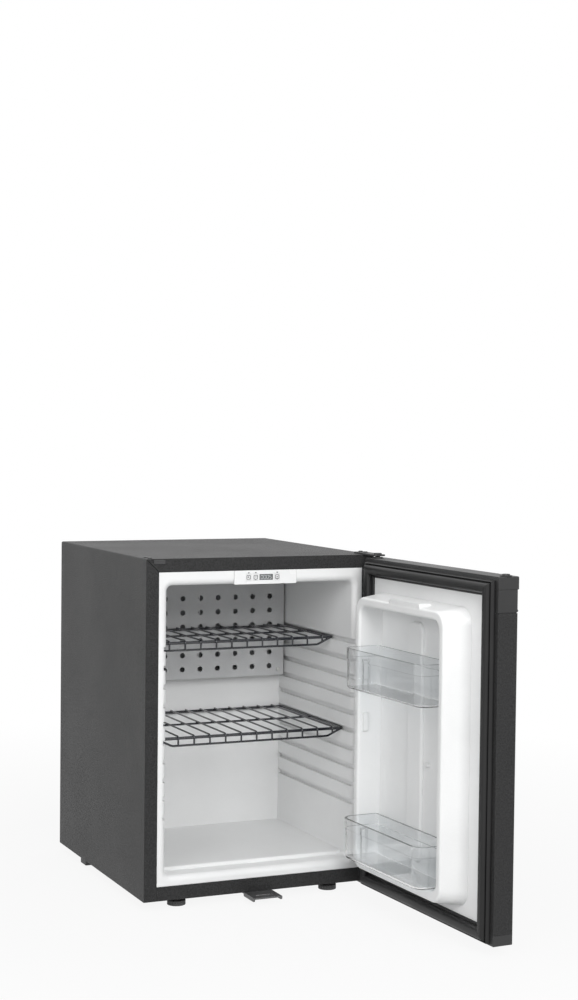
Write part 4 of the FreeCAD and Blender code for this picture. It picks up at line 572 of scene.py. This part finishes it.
def hinge_paint():
    return textured(
        "hinge_paint", colours().trim, rough=(0.4, 0.55), grain=0.8 * MM, bump=0.25, edge=0.6 * MM,
        wear_and_highlight=2.0,
    )


# Painted highlight: the keeper's edges are lightened nine times, partly as bare metal rubbed round the slot and
# partly as a painted highlight along the plate's edges
def keeper_paint():
    return textured(
        "keeper_paint", (0.06, 0.06, 0.061), rough=(0.26, 0.36), grain=0.8 * MM, bump=0.15,
        edge=0.9 * MM, wear_and_highlight=9.0,
    )


def unit_paint():
    return textured(
        "unit_paint", (0.016, 0.016, 0.017), rough=(0.28, 0.42), grain=1.5 * MM, bump=0.12,
        edge=0.6 * MM, wear_and_highlight=3.0, Coat_Weight=0.3, Coat_Roughness=0.25,
    )


def trim_plastic():
    return textured(
        "trim_plastic", colours().trim, rough=(0.4, 0.52), grain=0.7 * MM, bump=0.22, edge=1.2 * MM,
        wear_and_highlight=1.4,
    )


def plug_plastic():
    return textured(
        "plug_plastic", (0.045, 0.045, 0.046), rough=(0.3, 0.42), grain=0.7 * MM, bump=0.2,
        edge=0.6 * MM, wear_and_highlight=3.0,
    )


def foot_plastic():
    return textured(
        "foot_plastic", (0.06, 0.06, 0.061), rough=(0.45, 0.6), grain=0.7 * MM, bump=0.25,
        edge=0.8 * MM, wear_and_highlight=1.8,
    )


def bush_plastic():
    return textured(
        "bush_plastic", (0.06, 0.06, 0.06), rough=(0.35, 0.45), grain=0.6 * MM, bump=0.15, edge=0.5 * MM,
    )


def liner_white():
    return textured(
        "liner_white", colours().liner, rough=(0.28, 0.4), grain=2.5 * MM, bump=0.05, edge=2.0 * MM,
        spread=0.02, speckle=0.01, Coat_Weight=0.15, Coat_Roughness=0.2,
    )


def panel_plastic():
    return textured(
        "panel_plastic", colours().liner, rough=(0.22, 0.3), grain=1.5 * MM, bump=0.03, edge=0.6 * MM,
        spread=0.015, speckle=0.01, Coat_Weight=0.2, Coat_Roughness=0.15,
    )


def key_film():
    return textured(
        "key_film", tinted(colours().liner, 0.95)[:3], rough=(0.25, 0.35), grain=1.0 * MM, bump=0.03,
        edge=0.5 * MM, spread=0.02,
    )


def cover_grey():
    return textured(
        "cover_grey", colours().cover, rough=(0.42, 0.55), grain=0.9 * MM, bump=0.12, edge=0.6 * MM,
        wear_and_highlight=1.15, spread=0.06,
    )


def shelf_wire():
    return textured(
        "shelf_wire", colours().wire, rough=(0.16, 0.26), grain=1.2 * MM, bump=0.06, edge=0.3 * MM,
        spread=0.12, Coat_Weight=0.7, Coat_Roughness=0.08,
    )


def gasket():
    return textured(
        "gasket", colours().gasket, rough=(0.36, 0.5), grain=0.9 * MM, bump=0.08, edge=0.5 * MM,
        wear_and_highlight=1.5, spread=0.25, Specular_IOR_Level=0.4,
    )


def board_green():
    return textured(
        "board_green", (0.01, 0.09, 0.035), rough=(0.3, 0.4), grain=2.0 * MM, bump=0.1, edge=0.2 * MM,
        spread=0.25,
    )


def display_grey():
    return textured(
        "display_grey", (0.13, 0.135, 0.135), rough=(0.12, 0.2), grain=1.0 * MM, bump=0.02,
        edge=0.3 * MM, spread=0.08,
    )


# Painted shade: foam is really pale cream, but is coloured dark grey here so that where it shows in seams and gaps
# it reads as shadow
def foam():
    return textured(
        "foam", (0.033, 0.033, 0.036), rough=(0.75, 0.9), grain=2.0 * MM, bump=0.5, edge=1.0 * MM,
        spread=0.15,
    )


def printed(name, colour, rough=(0.4, 0.5), spread=0.05):
    """Thin print on a panel, key or display."""
    return textured(name, colour, rough, grain=0.4 * MM, bump=0.02, edge=0.05 * MM, spread=spread)


def mark_grey():
    return printed("mark_grey", (0.04, 0.04, 0.042))


def mark_dark():
    return printed("mark_dark", (0.015, 0.015, 0.016))


def digit_pale():
    return printed("digit_pale", (0.5, 0.52, 0.52), rough=(0.25, 0.35), spread=0.04)


def steel():
    return metal(
        "steel", (0.5, 0.5, 0.49), rough=(0.28, 0.45), streak=1.0 * MM, stretch=(1.0, 0.12, 1.0),
        edge=0.4 * MM,
    )


def cold_alloy():
    return metal(
        "cold_alloy", (0.68, 0.69, 0.7), rough=(0.3, 0.45), streak=0.8 * MM, stretch=(1.0, 1.0, 0.1),
        edge=0.2 * MM,
    )


def lock_chrome():
    return metal(
        "lock_chrome", (0.72, 0.72, 0.73), rough=(0.1, 0.18), streak=0.6 * MM, stretch=(1.0, 1.0, 1.0),
        edge=0.3 * MM, spread=0.04,
    )


def galvanised():
    """Zinc-coated sheet with its flat crystal spangle."""
    material, tree, shader = principled("galvanised", (0.5, 0.51, 0.52), 0.45, Metallic=1.0)
    place = add(tree, "ShaderNodeTexCoord")
    spangle = add(tree, "ShaderNodeTexVoronoi", Scale=150.0, Randomness=1.0)
    tree.links.new(place.outputs["Object"], spangle.inputs["Vector"])
    shade = add(tree, "ShaderNodeSeparateColor")
    tree.links.new(spangle.outputs["Color"], shade.inputs["Color"])
    tone = mix_colours(tree, shade.outputs["Red"], (0.45, 0.46, 0.47, 1.0), (0.55, 0.56, 0.57, 1.0))
    tree.links.new(tone, shader.inputs["Base Color"])
    vary_roughness(tree, shader, shade.outputs["Green"], rough=(0.35, 0.55))
    edges = effect(tree, "Soft edges", Radius=0.5 * MM)
    tree.links.new(edges.outputs["Normal"], shader.inputs["Normal"])
    return material


def bin_clear():
    """Clear plastic with painted shade, darker edge on and along its rims, that lets the light past to what lies
    behind.
    """
    clear_tone = colours().bins
    material, tree, shader = principled("bin_clear", clear_tone, 0.04, Transmission_Weight=1.0, IOR=1.45)
    # Painted shade: the base colour falls to three tenths of the clear tone edge on and along rims and steps,
    # standing in for the dark lines that refraction draws there
    edge_on = add(tree, "ShaderNodeLayerWeight", Blend=0.5)
    edges = effect(tree, "Soft edges", Radius=1.5 * MM)
    turned = ramp(tree, edge_on.outputs["Facing"], low=0.6, high=0.95)
    rim = combined(tree, "MAXIMUM", turned, edges.outputs["Wear and painted edge shading"])
    tone = mix_colours(tree, rim, tinted(clear_tone, 1.0), tinted(clear_tone, 0.3))
    tree.links.new(tone, shader.inputs["Base Color"])
    tree.links.new(edges.outputs["Normal"], shader.inputs["Normal"])
    wiped = effect(tree, "Handling", Size=30.0 * MM)
    vary_roughness(tree, shader, wiped.outputs["Patches"], rough=(0.02, 0.06))
    through = add(tree, "ShaderNodeBsdfTransparent", Color=(0.93, 0.94, 0.945, 1.0))
    light = any_ray(tree, "Is Shadow Ray", "Is Diffuse Ray")
    mix_shaders(tree, light, shader, through, "Material Output")
    return material


def lens_clear():
    """Frosted lamp lens."""
    material, tree, shader = principled(
        "lens_clear", (0.92, 0.92, 0.9), 0.4, Transmission_Weight=0.7, IOR=1.49,
    )
    fine = effect(tree, "Fine grain", Size=0.8 * MM)
    vary_roughness(tree, shader, fine.outputs["Height"], rough=(0.3, 0.5))
    return material


# Each maker is named as the finish it makes
MAKERS = {maker.__name__: maker for maker in (
    shell_paint, hinge_paint, keeper_paint, unit_paint, trim_plastic, plug_plastic, foot_plastic,
    bush_plastic, liner_white, panel_plastic, key_film, cover_grey, shelf_wire, gasket, board_green,
    display_grey, foam, mark_grey, mark_dark, digit_pale, steel, cold_alloy, lock_chrome, galvanised,
    bin_clear, lens_clear,
)}
FINISHES = {}


def finish_for(name):
    """The material of that name, made once."""
    if name not in FINISHES:
        FINISHES[name] = MAKERS[name]()
    return FINISHES[name]


# Operators

class MINIBAR_OT_stage(bpy.types.Operator):
    """Set up the camera, the floor and the lights"""

    bl_idname = "minibar.stage"
    bl_label = "Stage"

    # The sensor's longer side, in mm
    SENSOR = 36.0
    # Rays that show the background itself, as the camera, a mirror or clear plastic does
    SEEN_RAYS = ("Is Camera Ray", "Is Glossy Ray", "Is Transmission Ray")
    # Distances from the middle between which the floor turns to full white
    FADE = (0.5, 1.6)
    # Strength of the even light from all round
    AMBIENT = 0.4
    # Point that the lamps face, and each lamp's name, place, size in metres and power in watts
    AIM = Vector((0.0, -0.15, 0.3))
    LAMPS = (
        ("overhead", (-0.3, 0.0, 2.4), 1.8, 13.0),
        ("side_left", (-2.2, -2.0, 1.4), 1.4, 22.0),
        ("front", (-0.3, -3.0, 1.9), 1.5, 57.0),
    )

    def execute(self, context):
        stage = context.scene.minibar.stage
        self.camera(context, stage)
        self.floor(stage)
        self.world(context)
        self.lights()
        context.scene.view_settings.view_transform = "Standard"
        return {"FINISHED"}

    def camera(self, context, stage):
        """Camera at its place, turned, tipped and leant."""
        data = bpy.data.cameras.new("camera")
        data.lens = stage.lens
        data.sensor_width = self.SENSOR
        camera = placed("camera", data)
        yaw = Matrix.Rotation(-stage.camera_yaw, 4, "Z")
        pitch = Matrix.Rotation(math.pi / 2 - stage.camera_pitch, 4, "X")
        roll = Matrix.Rotation(stage.camera_roll, 4, "Z")
        camera.matrix_world = Matrix.Translation(stage.camera_place) @ (yaw @ pitch) @ roll
        context.scene.camera = camera

    def floor(self, stage):
        """Pale floor that keeps the shadow and turns to white away from the fridge."""
        half = stage.floor_size / 2
        corners = [(-half, -half, 0), (half, -half, 0), (half, half, 0), (-half, half, 0)]
        mesh = bpy.data.meshes.new("floor")
        mesh.from_pydata(corners, [], [(0, 1, 2, 3)])
        floor = placed("floor", mesh)
        material, tree, shader = principled("floor", (0.55, 0.55, 0.55), 0.75)
        white = add(tree, "ShaderNodeEmission", Color=WHITE, Strength=1.0)
        place = add(tree, "ShaderNodeNewGeometry")
        away = add(tree, "ShaderNodeVectorMath", operation="LENGTH")
        tree.links.new(place.outputs["Position"], away.inputs[0])
        whitened = ramp(tree, away.outputs["Value"], *self.FADE, to_low=stage.floor_tone)
        lifted = combined(tree, "MULTIPLY", any_ray(tree, *self.SEEN_RAYS), whitened)
        mix_shaders(tree, lifted, shader, white, "Material Output")
        mesh.materials.append(material)

    def world(self, context):
        """Dim even light from all round, and white where the background itself is seen."""
        world = bpy.data.worlds.new("studio")
        context.scene.world = world
        world.use_nodes = True
        tree = world.node_tree
        dim = tree.nodes["Background"]
        dim.inputs["Color"].default_value = WHITE
        dim.inputs["Strength"].default_value = self.AMBIENT
        white = add(tree, "ShaderNodeBackground", Color=WHITE, Strength=1.0)
        mix_shaders(tree, any_ray(tree, *self.SEEN_RAYS), dim, white, "World Output")

    def lights(self):
        """Soft square lamps, turned to the fridge."""
        for name, place, size, power in self.LAMPS:
            data = bpy.data.lights.new(name, "AREA")
            data.size = size
            data.energy = power
            lamp = placed(name, data)
            lamp.location = place
            lamp.rotation_euler = (self.AIM - Vector(place)).to_track_quat("-Z", "Y").to_euler()


class MINIBAR_OT_finishes(bpy.types.Operator):
    """Give every solid of the frame its finish"""

    bl_idname = "minibar.finishes"
    bl_label = "Finishes"

    # Nodes with a finish apart from their slot's
    OWN_FINISH = {
        "flange_plug": "plug_plastic",
        "spare_hole_plugs": "plug_plastic",
        "lock_keeper": "keeper_paint",
    }

    def execute(self, context):
        for part in frame["record"]["subparts"]:
            solid = frame["nodes"][part["node"]]
            material = finish_for(self.OWN_FINISH.get(part["node"], part["material_slot"]))
            if not solid.material_slots:
                solid.data.materials.append(material)
            for slot in solid.material_slots:
                slot.material = material
        return {"FINISHED"}


class MINIBAR_OT_gasket(bpy.types.Operator):
    """Sweep the door seal's ribbed section round the door"""

    bl_idname = "minibar.gasket"
    bl_label = "Door seal"

    # Up the outer edge: inset from it, and share of the base's height
    OUTER_EDGE = ((0.0, 0.0), (0.0, 0.7), (0.8 * MM, 1.0))
    # Over the lip: inset from the outer edge, and share of the lip's height above the base
    LIP = ((0.9 * MM, 0.8), (1.6 * MM, 1.0), (2.6 * MM, 0.85), (3.1 * MM, 0.0))
    # Down the inner edge: inset from it, and share of the base's height
    INNER_EDGE = ((1.5 * MM, 1.0), (0.6 * MM, 0.8), (0.0, 0.5), (0.0, 0.0))
    BULB_STEPS = 18
    # At 1 the bulb is half an ellipse, and below 1 it is fuller
    BULB_POWER = 0.6
    # Half width and depth of the weld in each mitred corner
    WELD_REACH, WELD_DIP = 0.5 * MM, 0.35 * MM
    CREASE = 50.0

    def execute(self, context):
        low, high = shut_box("door_gasket")
        section = self.section(context.scene.minibar.gasket, high.y - low.y)
        turn = shut_to_rest()
        verts = []
        for inset, rise in section:
            verts += [turn @ point for point in self.loop(low, high, inset, rise)]
        stops = len(verts) // len(section)
        faces = bands(len(section), stops, closed=True)
        seal = new_piece(
            "door_seal", verts, faces, "door", "gasket", replaces=("door_gasket",), crease=self.CREASE,
        )
        # The edges across the section, beside the welds, stay crisp
        for edge in seal.data.edges:
            first, second = edge.vertices
            if first % stops == second % stops:
                edge.use_edge_sharp = True
        return {"FINISHED"}

    def loop(self, low, high, inset, rise):
        """One line of the section round the door, dipping at each corner where the lengths are welded."""
        corners = [
            Vector((x, low.y + rise, z)) for x, z in (
                (low.x + inset, low.z + inset), (high.x - inset, low.z + inset),
                (high.x - inset, high.z - inset), (low.x + inset, high.z - inset),
            )
        ]
        sunk = unit(1) * min(self.WELD_DIP, rise)
        points = []
        for index, corner in enumerate(corners):
            before = (corners[index - 1] - corner).normalized() * self.WELD_REACH
            after = (corners[(index + 1) % len(corners)] - corner).normalized() * self.WELD_REACH
            points += [corner + before, corner - sunk, corner + after]
        return points

    def section(self, gasket, height):
        """Closed section, as inset from the outer edge and rise from the door."""
        base, half = gasket.base_height, gasket.bulb_width / 2
        middle = gasket.bulb_inset + half
        width = gasket.bulb_inset * 2 + gasket.bulb_width
        points = [(inset, base * share) for inset, share in self.OUTER_EDGE]
        points += [(inset, base + gasket.rib_height * share) for inset, share in self.LIP]
        for step in range(self.BULB_STEPS + 1):
            turn = math.pi * (1 - step / self.BULB_STEPS)
            across = math.copysign(abs(math.cos(turn)) ** self.BULB_POWER, math.cos(turn))
            rise = math.sin(turn) ** self.BULB_POWER
            points.append((middle + across * half, base + (height - base) * rise))
        return points + [(width - inset, base * share) for inset, share in self.INNER_EDGE]


class MINIBAR_OT_shelves(bpy.types.Operator):
    """Draw each shelf's bent and welded wires, with a bead at every weld"""

    bl_idname = "minibar.shelves"
    bl_label = "Wire shelves"

    FRAME_SIDES, RAIL_SIDES, CROSS_SIDES = 16, 14, 12
    RAIL_STEPS = 8
    # Width and height of a weld bead, as shares of the cross wire's
    BEAD_WIDE, BEAD_TALL = 1.45, 0.75
    CREASE = 60.0

    def execute(self, context):
        for node in ("upper_shelf", "lower_shelf"):
            verts, faces = joined(self.wires(context.scene.minibar.shelf, *node_box(node)))
            new_piece(
                node + "_wires", verts, faces, node, "shelf_wire", replaces=(node,), crease=self.CREASE,
            )
        return {"FINISHED"}

    def wires(self, shelf, low, high):
        """Frame, brace, front rail and cross wires, worked out from the outside of the welded shelf."""
        half, thin, rod = shelf.frame_wire / 2, shelf.cross_wire / 2, shelf.rail_wire / 2
        left, right, back = low.x + half, high.x - half, high.y - half
        level = high.z - half - shelf.cross_wire + shelf.lap
        over = high.z - thin
        ahead = low.y + thin
        front = ahead + half + thin - shelf.lap
        middle = (left + right) / 2
        brace_y = (front + back) / 2
        rail_y = ahead + thin + rod - shelf.lap
        rail_left, rail_right = left + rod, right - rod

        frame_run = [
            Vector((x, y, level)) for x, y in (
                (middle, back), (right, back), (right, front), (left, front), (left, back), (middle, back),
            )
        ]
        brace_run = [Vector((x, brace_y, level)) for x in (left, right)]
        rail_run = [
            Vector((x, rail_y, z)) for x, z in (
                (rail_left, level), (rail_left + shelf.sweep, level - shelf.lip),
                (rail_right - shelf.sweep, level - shelf.lip), (rail_right, level),
            )
        ]
        shapes = [
            tube(rounded_path(frame_run, shelf.corner), half, self.FRAME_SIDES),
            tube(brace_run, rod, self.RAIL_SIDES),
            tube(rounded_path(rail_run, shelf.sweep / 2, self.RAIL_STEPS), rod, self.RAIL_SIDES),
        ]
        for index in range(shelf.cross_count):
            x = middle + shelf.cross_shift + (index - (shelf.cross_count - 1) / 2) * shelf.cross_pitch
            fallen = min(x - rail_left, rail_right - x, shelf.sweep) / shelf.sweep
            foot = level - shelf.lip * fallen
            cross_run = [Vector((x, back, over)), Vector((x, ahead, over)), Vector((x, ahead, foot))]
            shapes.append(tube(rounded_path(cross_run, shelf.cross_bend), thin, self.CROSS_SIDES))
            for y, z in (
                (back, over - thin), (brace_y, over - thin), (ahead + thin, level), (ahead + thin, foot),
            ):
                shapes.append(self.bead(Vector((x, y, z)), thin))
        return shapes

    def bead(self, centre, radius, sides=10, rings=5):
        """Small rounded weld between two wires, wider than it is tall."""
        wide, tall = radius * self.BEAD_WIDE, radius * self.BEAD_TALL
        verts = []
        for ring in range(rings):
            rise = math.pi * (ring + 1) / (rings + 1)
            level = centre + unit(2) * tall * math.cos(rise)
            verts += [level + way * wide * math.sin(rise) for way in around(unit(0), unit(1), sides)]
        return verts, capped(rings, sides)


class MINIBAR_OT_screws(bpy.types.Operator):
    """Give every screw a domed head with a cross recess"""

    bl_idname = "minibar.screws"
    bl_label = "Screws"

    SCREWS = (("hinge_screws", "hinge_paint"), ("keeper_screws", "steel"), ("cover_screws", "steel"))
    STEPS = 48
    HEAD_TALL = 1.8 * MM
    # Share of the head's radius, and of its height that the cross is pressed in there
    RECESS = ((0.16, 0.62), (0.34, 0.62), (0.5, 0.3))
    # The higher, the narrower the cross's arms
    ARM_POWER = 6
    # Share of the head's radius, and of its height below the top, out to the rim
    DOME = ((0.72, 0.06), (0.88, 0.25), (0.97, 0.55), (1.0, 1.0))
    # Radius of the shank and the tip, and length of the point, as shares of the head's radius
    SHANK, TIP, POINT = 0.5, 0.1, 0.4
    # Length at each end that tells the wide head from the tip
    END_LENGTH = 2.6 * MM
    # Corners of the solid's faces that are this near are one
    MERGE = 0.001 * MM
    CREASE = 35.0

    def execute(self, context):
        for node, slot in self.SCREWS:
            verts, faces = joined(self.screw(*place) for place in self.places(frame["nodes"][node].data))
            new_piece(
                node + "_heads", verts, faces, "cabinet", slot, replaces=(node,), crease=self.CREASE,
            )
        return {"FINISHED"}

    def places(self, mesh):
        """Each screw's box, its axis and where its head ends, from the solid's separate shells."""
        shape = bmesh.new()
        shape.from_mesh(mesh)
        bmesh.ops.remove_doubles(shape, verts=shape.verts, dist=self.MERGE)
        left = set(shape.verts)
        screws = []
        while left:
            shell, edge = set(), {left.pop()}
            while edge:
                shell |= edge
                edge = {e.other_vert(v) for v in edge for e in v.link_edges} - shell
            left -= shell
            low, high = box_of([v.co for v in shell])
            axis = max(range(3), key=lambda a: high[a] - low[a])
            middle = (low + high) / 2
            spread = {}
            for end in (low[axis], high[axis]):
                rim = [v.co - middle for v in shell if abs(v.co[axis] - end) < self.END_LENGTH]
                spread[end] = max((p - unit(axis) * p.dot(unit(axis))).length for p in rim)
            screws.append((low, high, axis, max(spread, key=spread.get)))
        shape.free()
        return screws

    def screw(self, low, high, axis, end):
        """Pan head with a cross pressed into it, and a pointed shank, on the screw's own axis."""
        middle = (low + high) / 2
        out = unit(axis) * math.copysign(1.0, end - middle[axis])
        top = middle + out * abs(end - middle[axis])
        across = out.orthogonal().normalized()
        ways = around(across, out.cross(across), self.STEPS)
        radius = max(high[a] - low[a] for a in range(3) if a != axis) / 2
        tall, hold = self.HEAD_TALL, high[axis] - low[axis]
        turns = [2 * math.pi * step / self.STEPS for step in range(self.STEPS)]
        arms = [abs(math.cos(2 * turn)) ** self.ARM_POWER for turn in turns]
        level = [1.0] * self.STEPS
        rings = [(reach, tall * deep, arms) for reach, deep in self.RECESS]
        rings += [(reach, tall * drop, level) for reach, drop in self.DOME]
        rings += [
            (self.SHANK, tall, level), (self.SHANK, hold - radius * self.POINT, level),
            (self.TIP, hold, level),
        ]
        verts = []
        for reach, depth, shares in rings:
            for way, share in zip(ways, shares):
                verts.append(top - out * depth * share + way * radius * reach)
        return verts, capped(len(rings), self.STEPS)


class MINIBAR_OT_welds(bpy.types.Operator):
    """Lay a weld bead round each tube of the cooling unit where it enters a vessel"""

    bl_idname = "minibar.welds"
    bl_label = "Welds"

    # Node, the axis that its tube's end points along, and which end
    ENDS = (
        ("condenser", 2, min), ("absorber_coil", 2, min), ("liquid_line", 0, min), ("liquid_line", 0, max),
    )
    BEAD = 1.5 * MM
    # Height of the bead's ripples as a share of it, and their number round a tube
    RIPPLE, RIPPLES = 0.12, 16
    # Points this near a tube's end are its rim
    RIM = 0.2 * MM
    CREASE = 60.0

    def execute(self, context):
        verts, faces = joined(self.ring(*end) for end in self.ENDS)
        new_piece("tube_welds", verts, faces, "cabinet", "unit_paint", crease=self.CREASE)
        return {"FINISHED"}

    def ring(self, node, axis, pick, sides=48, round_sides=10):
        """Uneven bead round the end of a tube that points along an axis."""
        points = [vertex.co for vertex in frame["nodes"][node].data.vertices]
        end = pick(point[axis] for point in points)
        low, high = box_of([point for point in points if abs(point[axis] - end) < self.RIM])
        centre = (low + high) / 2
        radius = max(high - low) / 2
        verts = []
        for side, way in enumerate(around(unit((axis + 1) % 3), unit((axis + 2) % 3), sides)):
            turn = 2 * math.pi * side / sides
            bead = self.BEAD * (1 + self.RIPPLE * math.cos(self.RIPPLES * turn))
            rim = centre + way * radius
            verts += [rim + spoke * bead for spoke in around(way, unit(axis), round_sides)]
        return verts, bands(sides, round_sides, closed=True)


class MINIBAR_OT_control_marks(bpy.types.Operator):
    """Draw the display's digits and the plain marks on and above the keys"""

    bl_idname = "minibar.control_marks"
    bl_label = "Control marks"

    SEGMENTS = {
        "0": "abcdef", "1": "bc", "2": "abged", "3": "abgcd", "4": "fgbc",
        "5": "afgcd", "6": "afgedc", "7": "abc", "8": "abcdefg", "9": "abcdfg",
    }
    # A digit's height as a share of the display's, and its width and spacing as shares of the width
    DIGIT_TALL, DIGIT_WIDE, DIGIT_PITCH = 0.62, 0.15, 0.215
    SEGMENT_GAP = 0.35 * MM
    # Strokes from one point to another, in mm right of and above the key's middle
    SIGNS = {
        "button_light": ((-1.2, 0.9, 1.2, -1.4), (-1.2, 0.9, -0.2, 1.2), (-1.2, 0.9, -1.2, -0.3)),
        "button_set": ((-1.5, 0.4, 1.5, 0.4), (0.0, -3.2, 0.0, -4.8)),
        "button_cold": ((-1.2, -1.0, 0.0, 0.9), (0.0, 0.9, 1.2, -1.0), (0.0, -3.2, 0.0, -4.8)),
    }
    SIGN_FINISH = {"button_light": "mark_dark", "button_set": "mark_grey", "button_cold": "mark_grey"}
    CORNER_STEPS = 4
    DOT_RISE, DOT_REACH, DOT_WIDE = 0.6 * MM, 1.1 * MM, 1.4 * MM
    # How far a stroke stands off its face, how thick it is, and its pointed ends as a share of its width
    PROUD, THICK, TIP = 0.08 * MM, 0.2 * MM, 0.3

    def execute(self, context):
        controls = context.scene.minibar.controls
        self.digits(controls)
        for name in self.SIGNS:
            self.key(name, controls)
        return {"FINISHED"}

    def bar(self, x0, z0, x1, z1, face, width):
        """Flat stroke with pointed ends on an upright face, from one point to another."""
        start, end = Vector((x0, 0, z0)), Vector((x1, 0, z1))
        along = (end - start).normalized()
        side = Vector((-along.z, 0, along.x)) * width / 2
        tip = along * width * self.TIP
        outline = [start - tip, start + side, end + side, end + tip, end - side, start - side]
        front = face - self.PROUD
        verts = [Vector((p.x, y, p.z)) for y in (front, front + self.THICK) for p in outline]
        return verts, capped(2, len(outline))

    def digits(self, controls):
        """Digits of seven segments across the display."""
        low, high = node_box("control_display")
        tall = (high.z - low.z) * self.DIGIT_TALL
        wide, pitch = (high.x - low.x) * self.DIGIT_WIDE, (high.x - low.x) * self.DIGIT_PITCH
        gap = self.SEGMENT_GAP
        z0 = (low.z + high.z - tall) / 2
        zm, z1 = z0 + tall / 2, z0 + tall
        bars = []
        for index, digit in enumerate(controls.digits):
            x0 = (low.x + high.x - wide) / 2 + (index - (len(controls.digits) - 1) / 2) * pitch
            x1 = x0 + wide
            runs = {
                "a": (x0 + gap, z1, x1 - gap, z1),
                "b": (x1, z1 - gap, x1, zm + gap),
                "c": (x1, zm - gap, x1, z0 + gap),
                "d": (x0 + gap, z0, x1 - gap, z0),
                "e": (x0, zm - gap, x0, z0 + gap),
                "f": (x0, z1 - gap, x0, zm + gap),
                "g": (x0 + gap, zm, x1 - gap, zm),
            }
            bars += [self.bar(*runs[name], low.y, controls.digit_stroke) for name in self.SEGMENTS[digit]]
        new_piece("display_digits", *joined(bars), "cabinet", "display_grey", finish="digit_pale")

    def key(self, name, controls):
        """Outline of a rounded square on the key, one plain sign in it and a dot above it."""
        low, high = node_box(name)
        x, z = (low.x + high.x) / 2, (low.z + high.z) / 2
        stroke, corner = controls.key_stroke, controls.square_corner
        reach = controls.square / 2 - corner
        ring = []
        for quarter, (right, up) in enumerate(((1, 1), (-1, 1), (-1, -1), (1, -1))):
            for step in range(self.CORNER_STEPS + 1):
                turn = math.pi / 2 * (quarter + step / self.CORNER_STEPS)
                ring.append((
                    x + right * reach + corner * math.cos(turn), z + up * reach + corner * math.sin(turn),
                ))
        sides = zip(ring, ring[1:] + ring[:1])
        square = [self.bar(*here, *there, low.y, stroke) for here, there in sides]
        sign = [
            self.bar(x + x0 * MM, z + z0 * MM, x + x1 * MM, z + z1 * MM, low.y, stroke)
            for x0, z0, x1, z1 in self.SIGNS[name]
        ]
        fascia = node_box("control_fascia")[0].y
        dot_z = high.z + self.DOT_RISE
        dot = self.bar(x - self.DOT_REACH, dot_z, x + self.DOT_REACH, dot_z, fascia, self.DOT_WIDE)
        new_piece(name + "_outline", *joined(square), name, "key_film", finish="mark_grey")
        new_piece(name + "_sign", *joined(sign), name, "key_film", finish=self.SIGN_FINISH[name])
        new_piece(name + "_dot", *dot, "cabinet", "panel_plastic", finish="mark_grey")


class MINIBAR_PT_sidebar(bpy.types.Panel):
    """Lists the fridge's pieces in the sidebar"""

    bl_idname = "MINIBAR_PT_sidebar"
    bl_label = "Minibar fridge"
    bl_space_type = "VIEW_3D"
    bl_region_type = "UI"
    bl_category = "Minibar"

    def draw(self, context):
        for operator in OPERATORS:
            self.layout.operator(operator.bl_idname)


SETTINGS = (
    StageSettings, FinishSettings, GasketSettings, ShelfSettings, ControlSettings, MinibarSettings,
)
OPERATORS = (
    MINIBAR_OT_stage, MINIBAR_OT_finishes, MINIBAR_OT_gasket, MINIBAR_OT_shelves, MINIBAR_OT_screws,
    MINIBAR_OT_welds, MINIBAR_OT_control_marks,
)
CLASSES = SETTINGS + OPERATORS + (MINIBAR_PT_sidebar,)


def register():
    for made in CLASSES:
        bpy.utils.register_class(made)
    bpy.types.Scene.minibar = PointerProperty(type=MinibarSettings)


def unregister():
    del bpy.types.Scene.minibar
    for made in reversed(CLASSES):
        bpy.utils.unregister_class(made)


def main():
    register()
    bpy.ops.minibar.stage()
    bpy.ops.minibar.finishes()
    bpy.ops.minibar.gasket()
    bpy.ops.minibar.shelves()
    bpy.ops.minibar.screws()
    bpy.ops.minibar.welds()
    bpy.ops.minibar.control_marks()


if __name__ == "__main__":
    main()
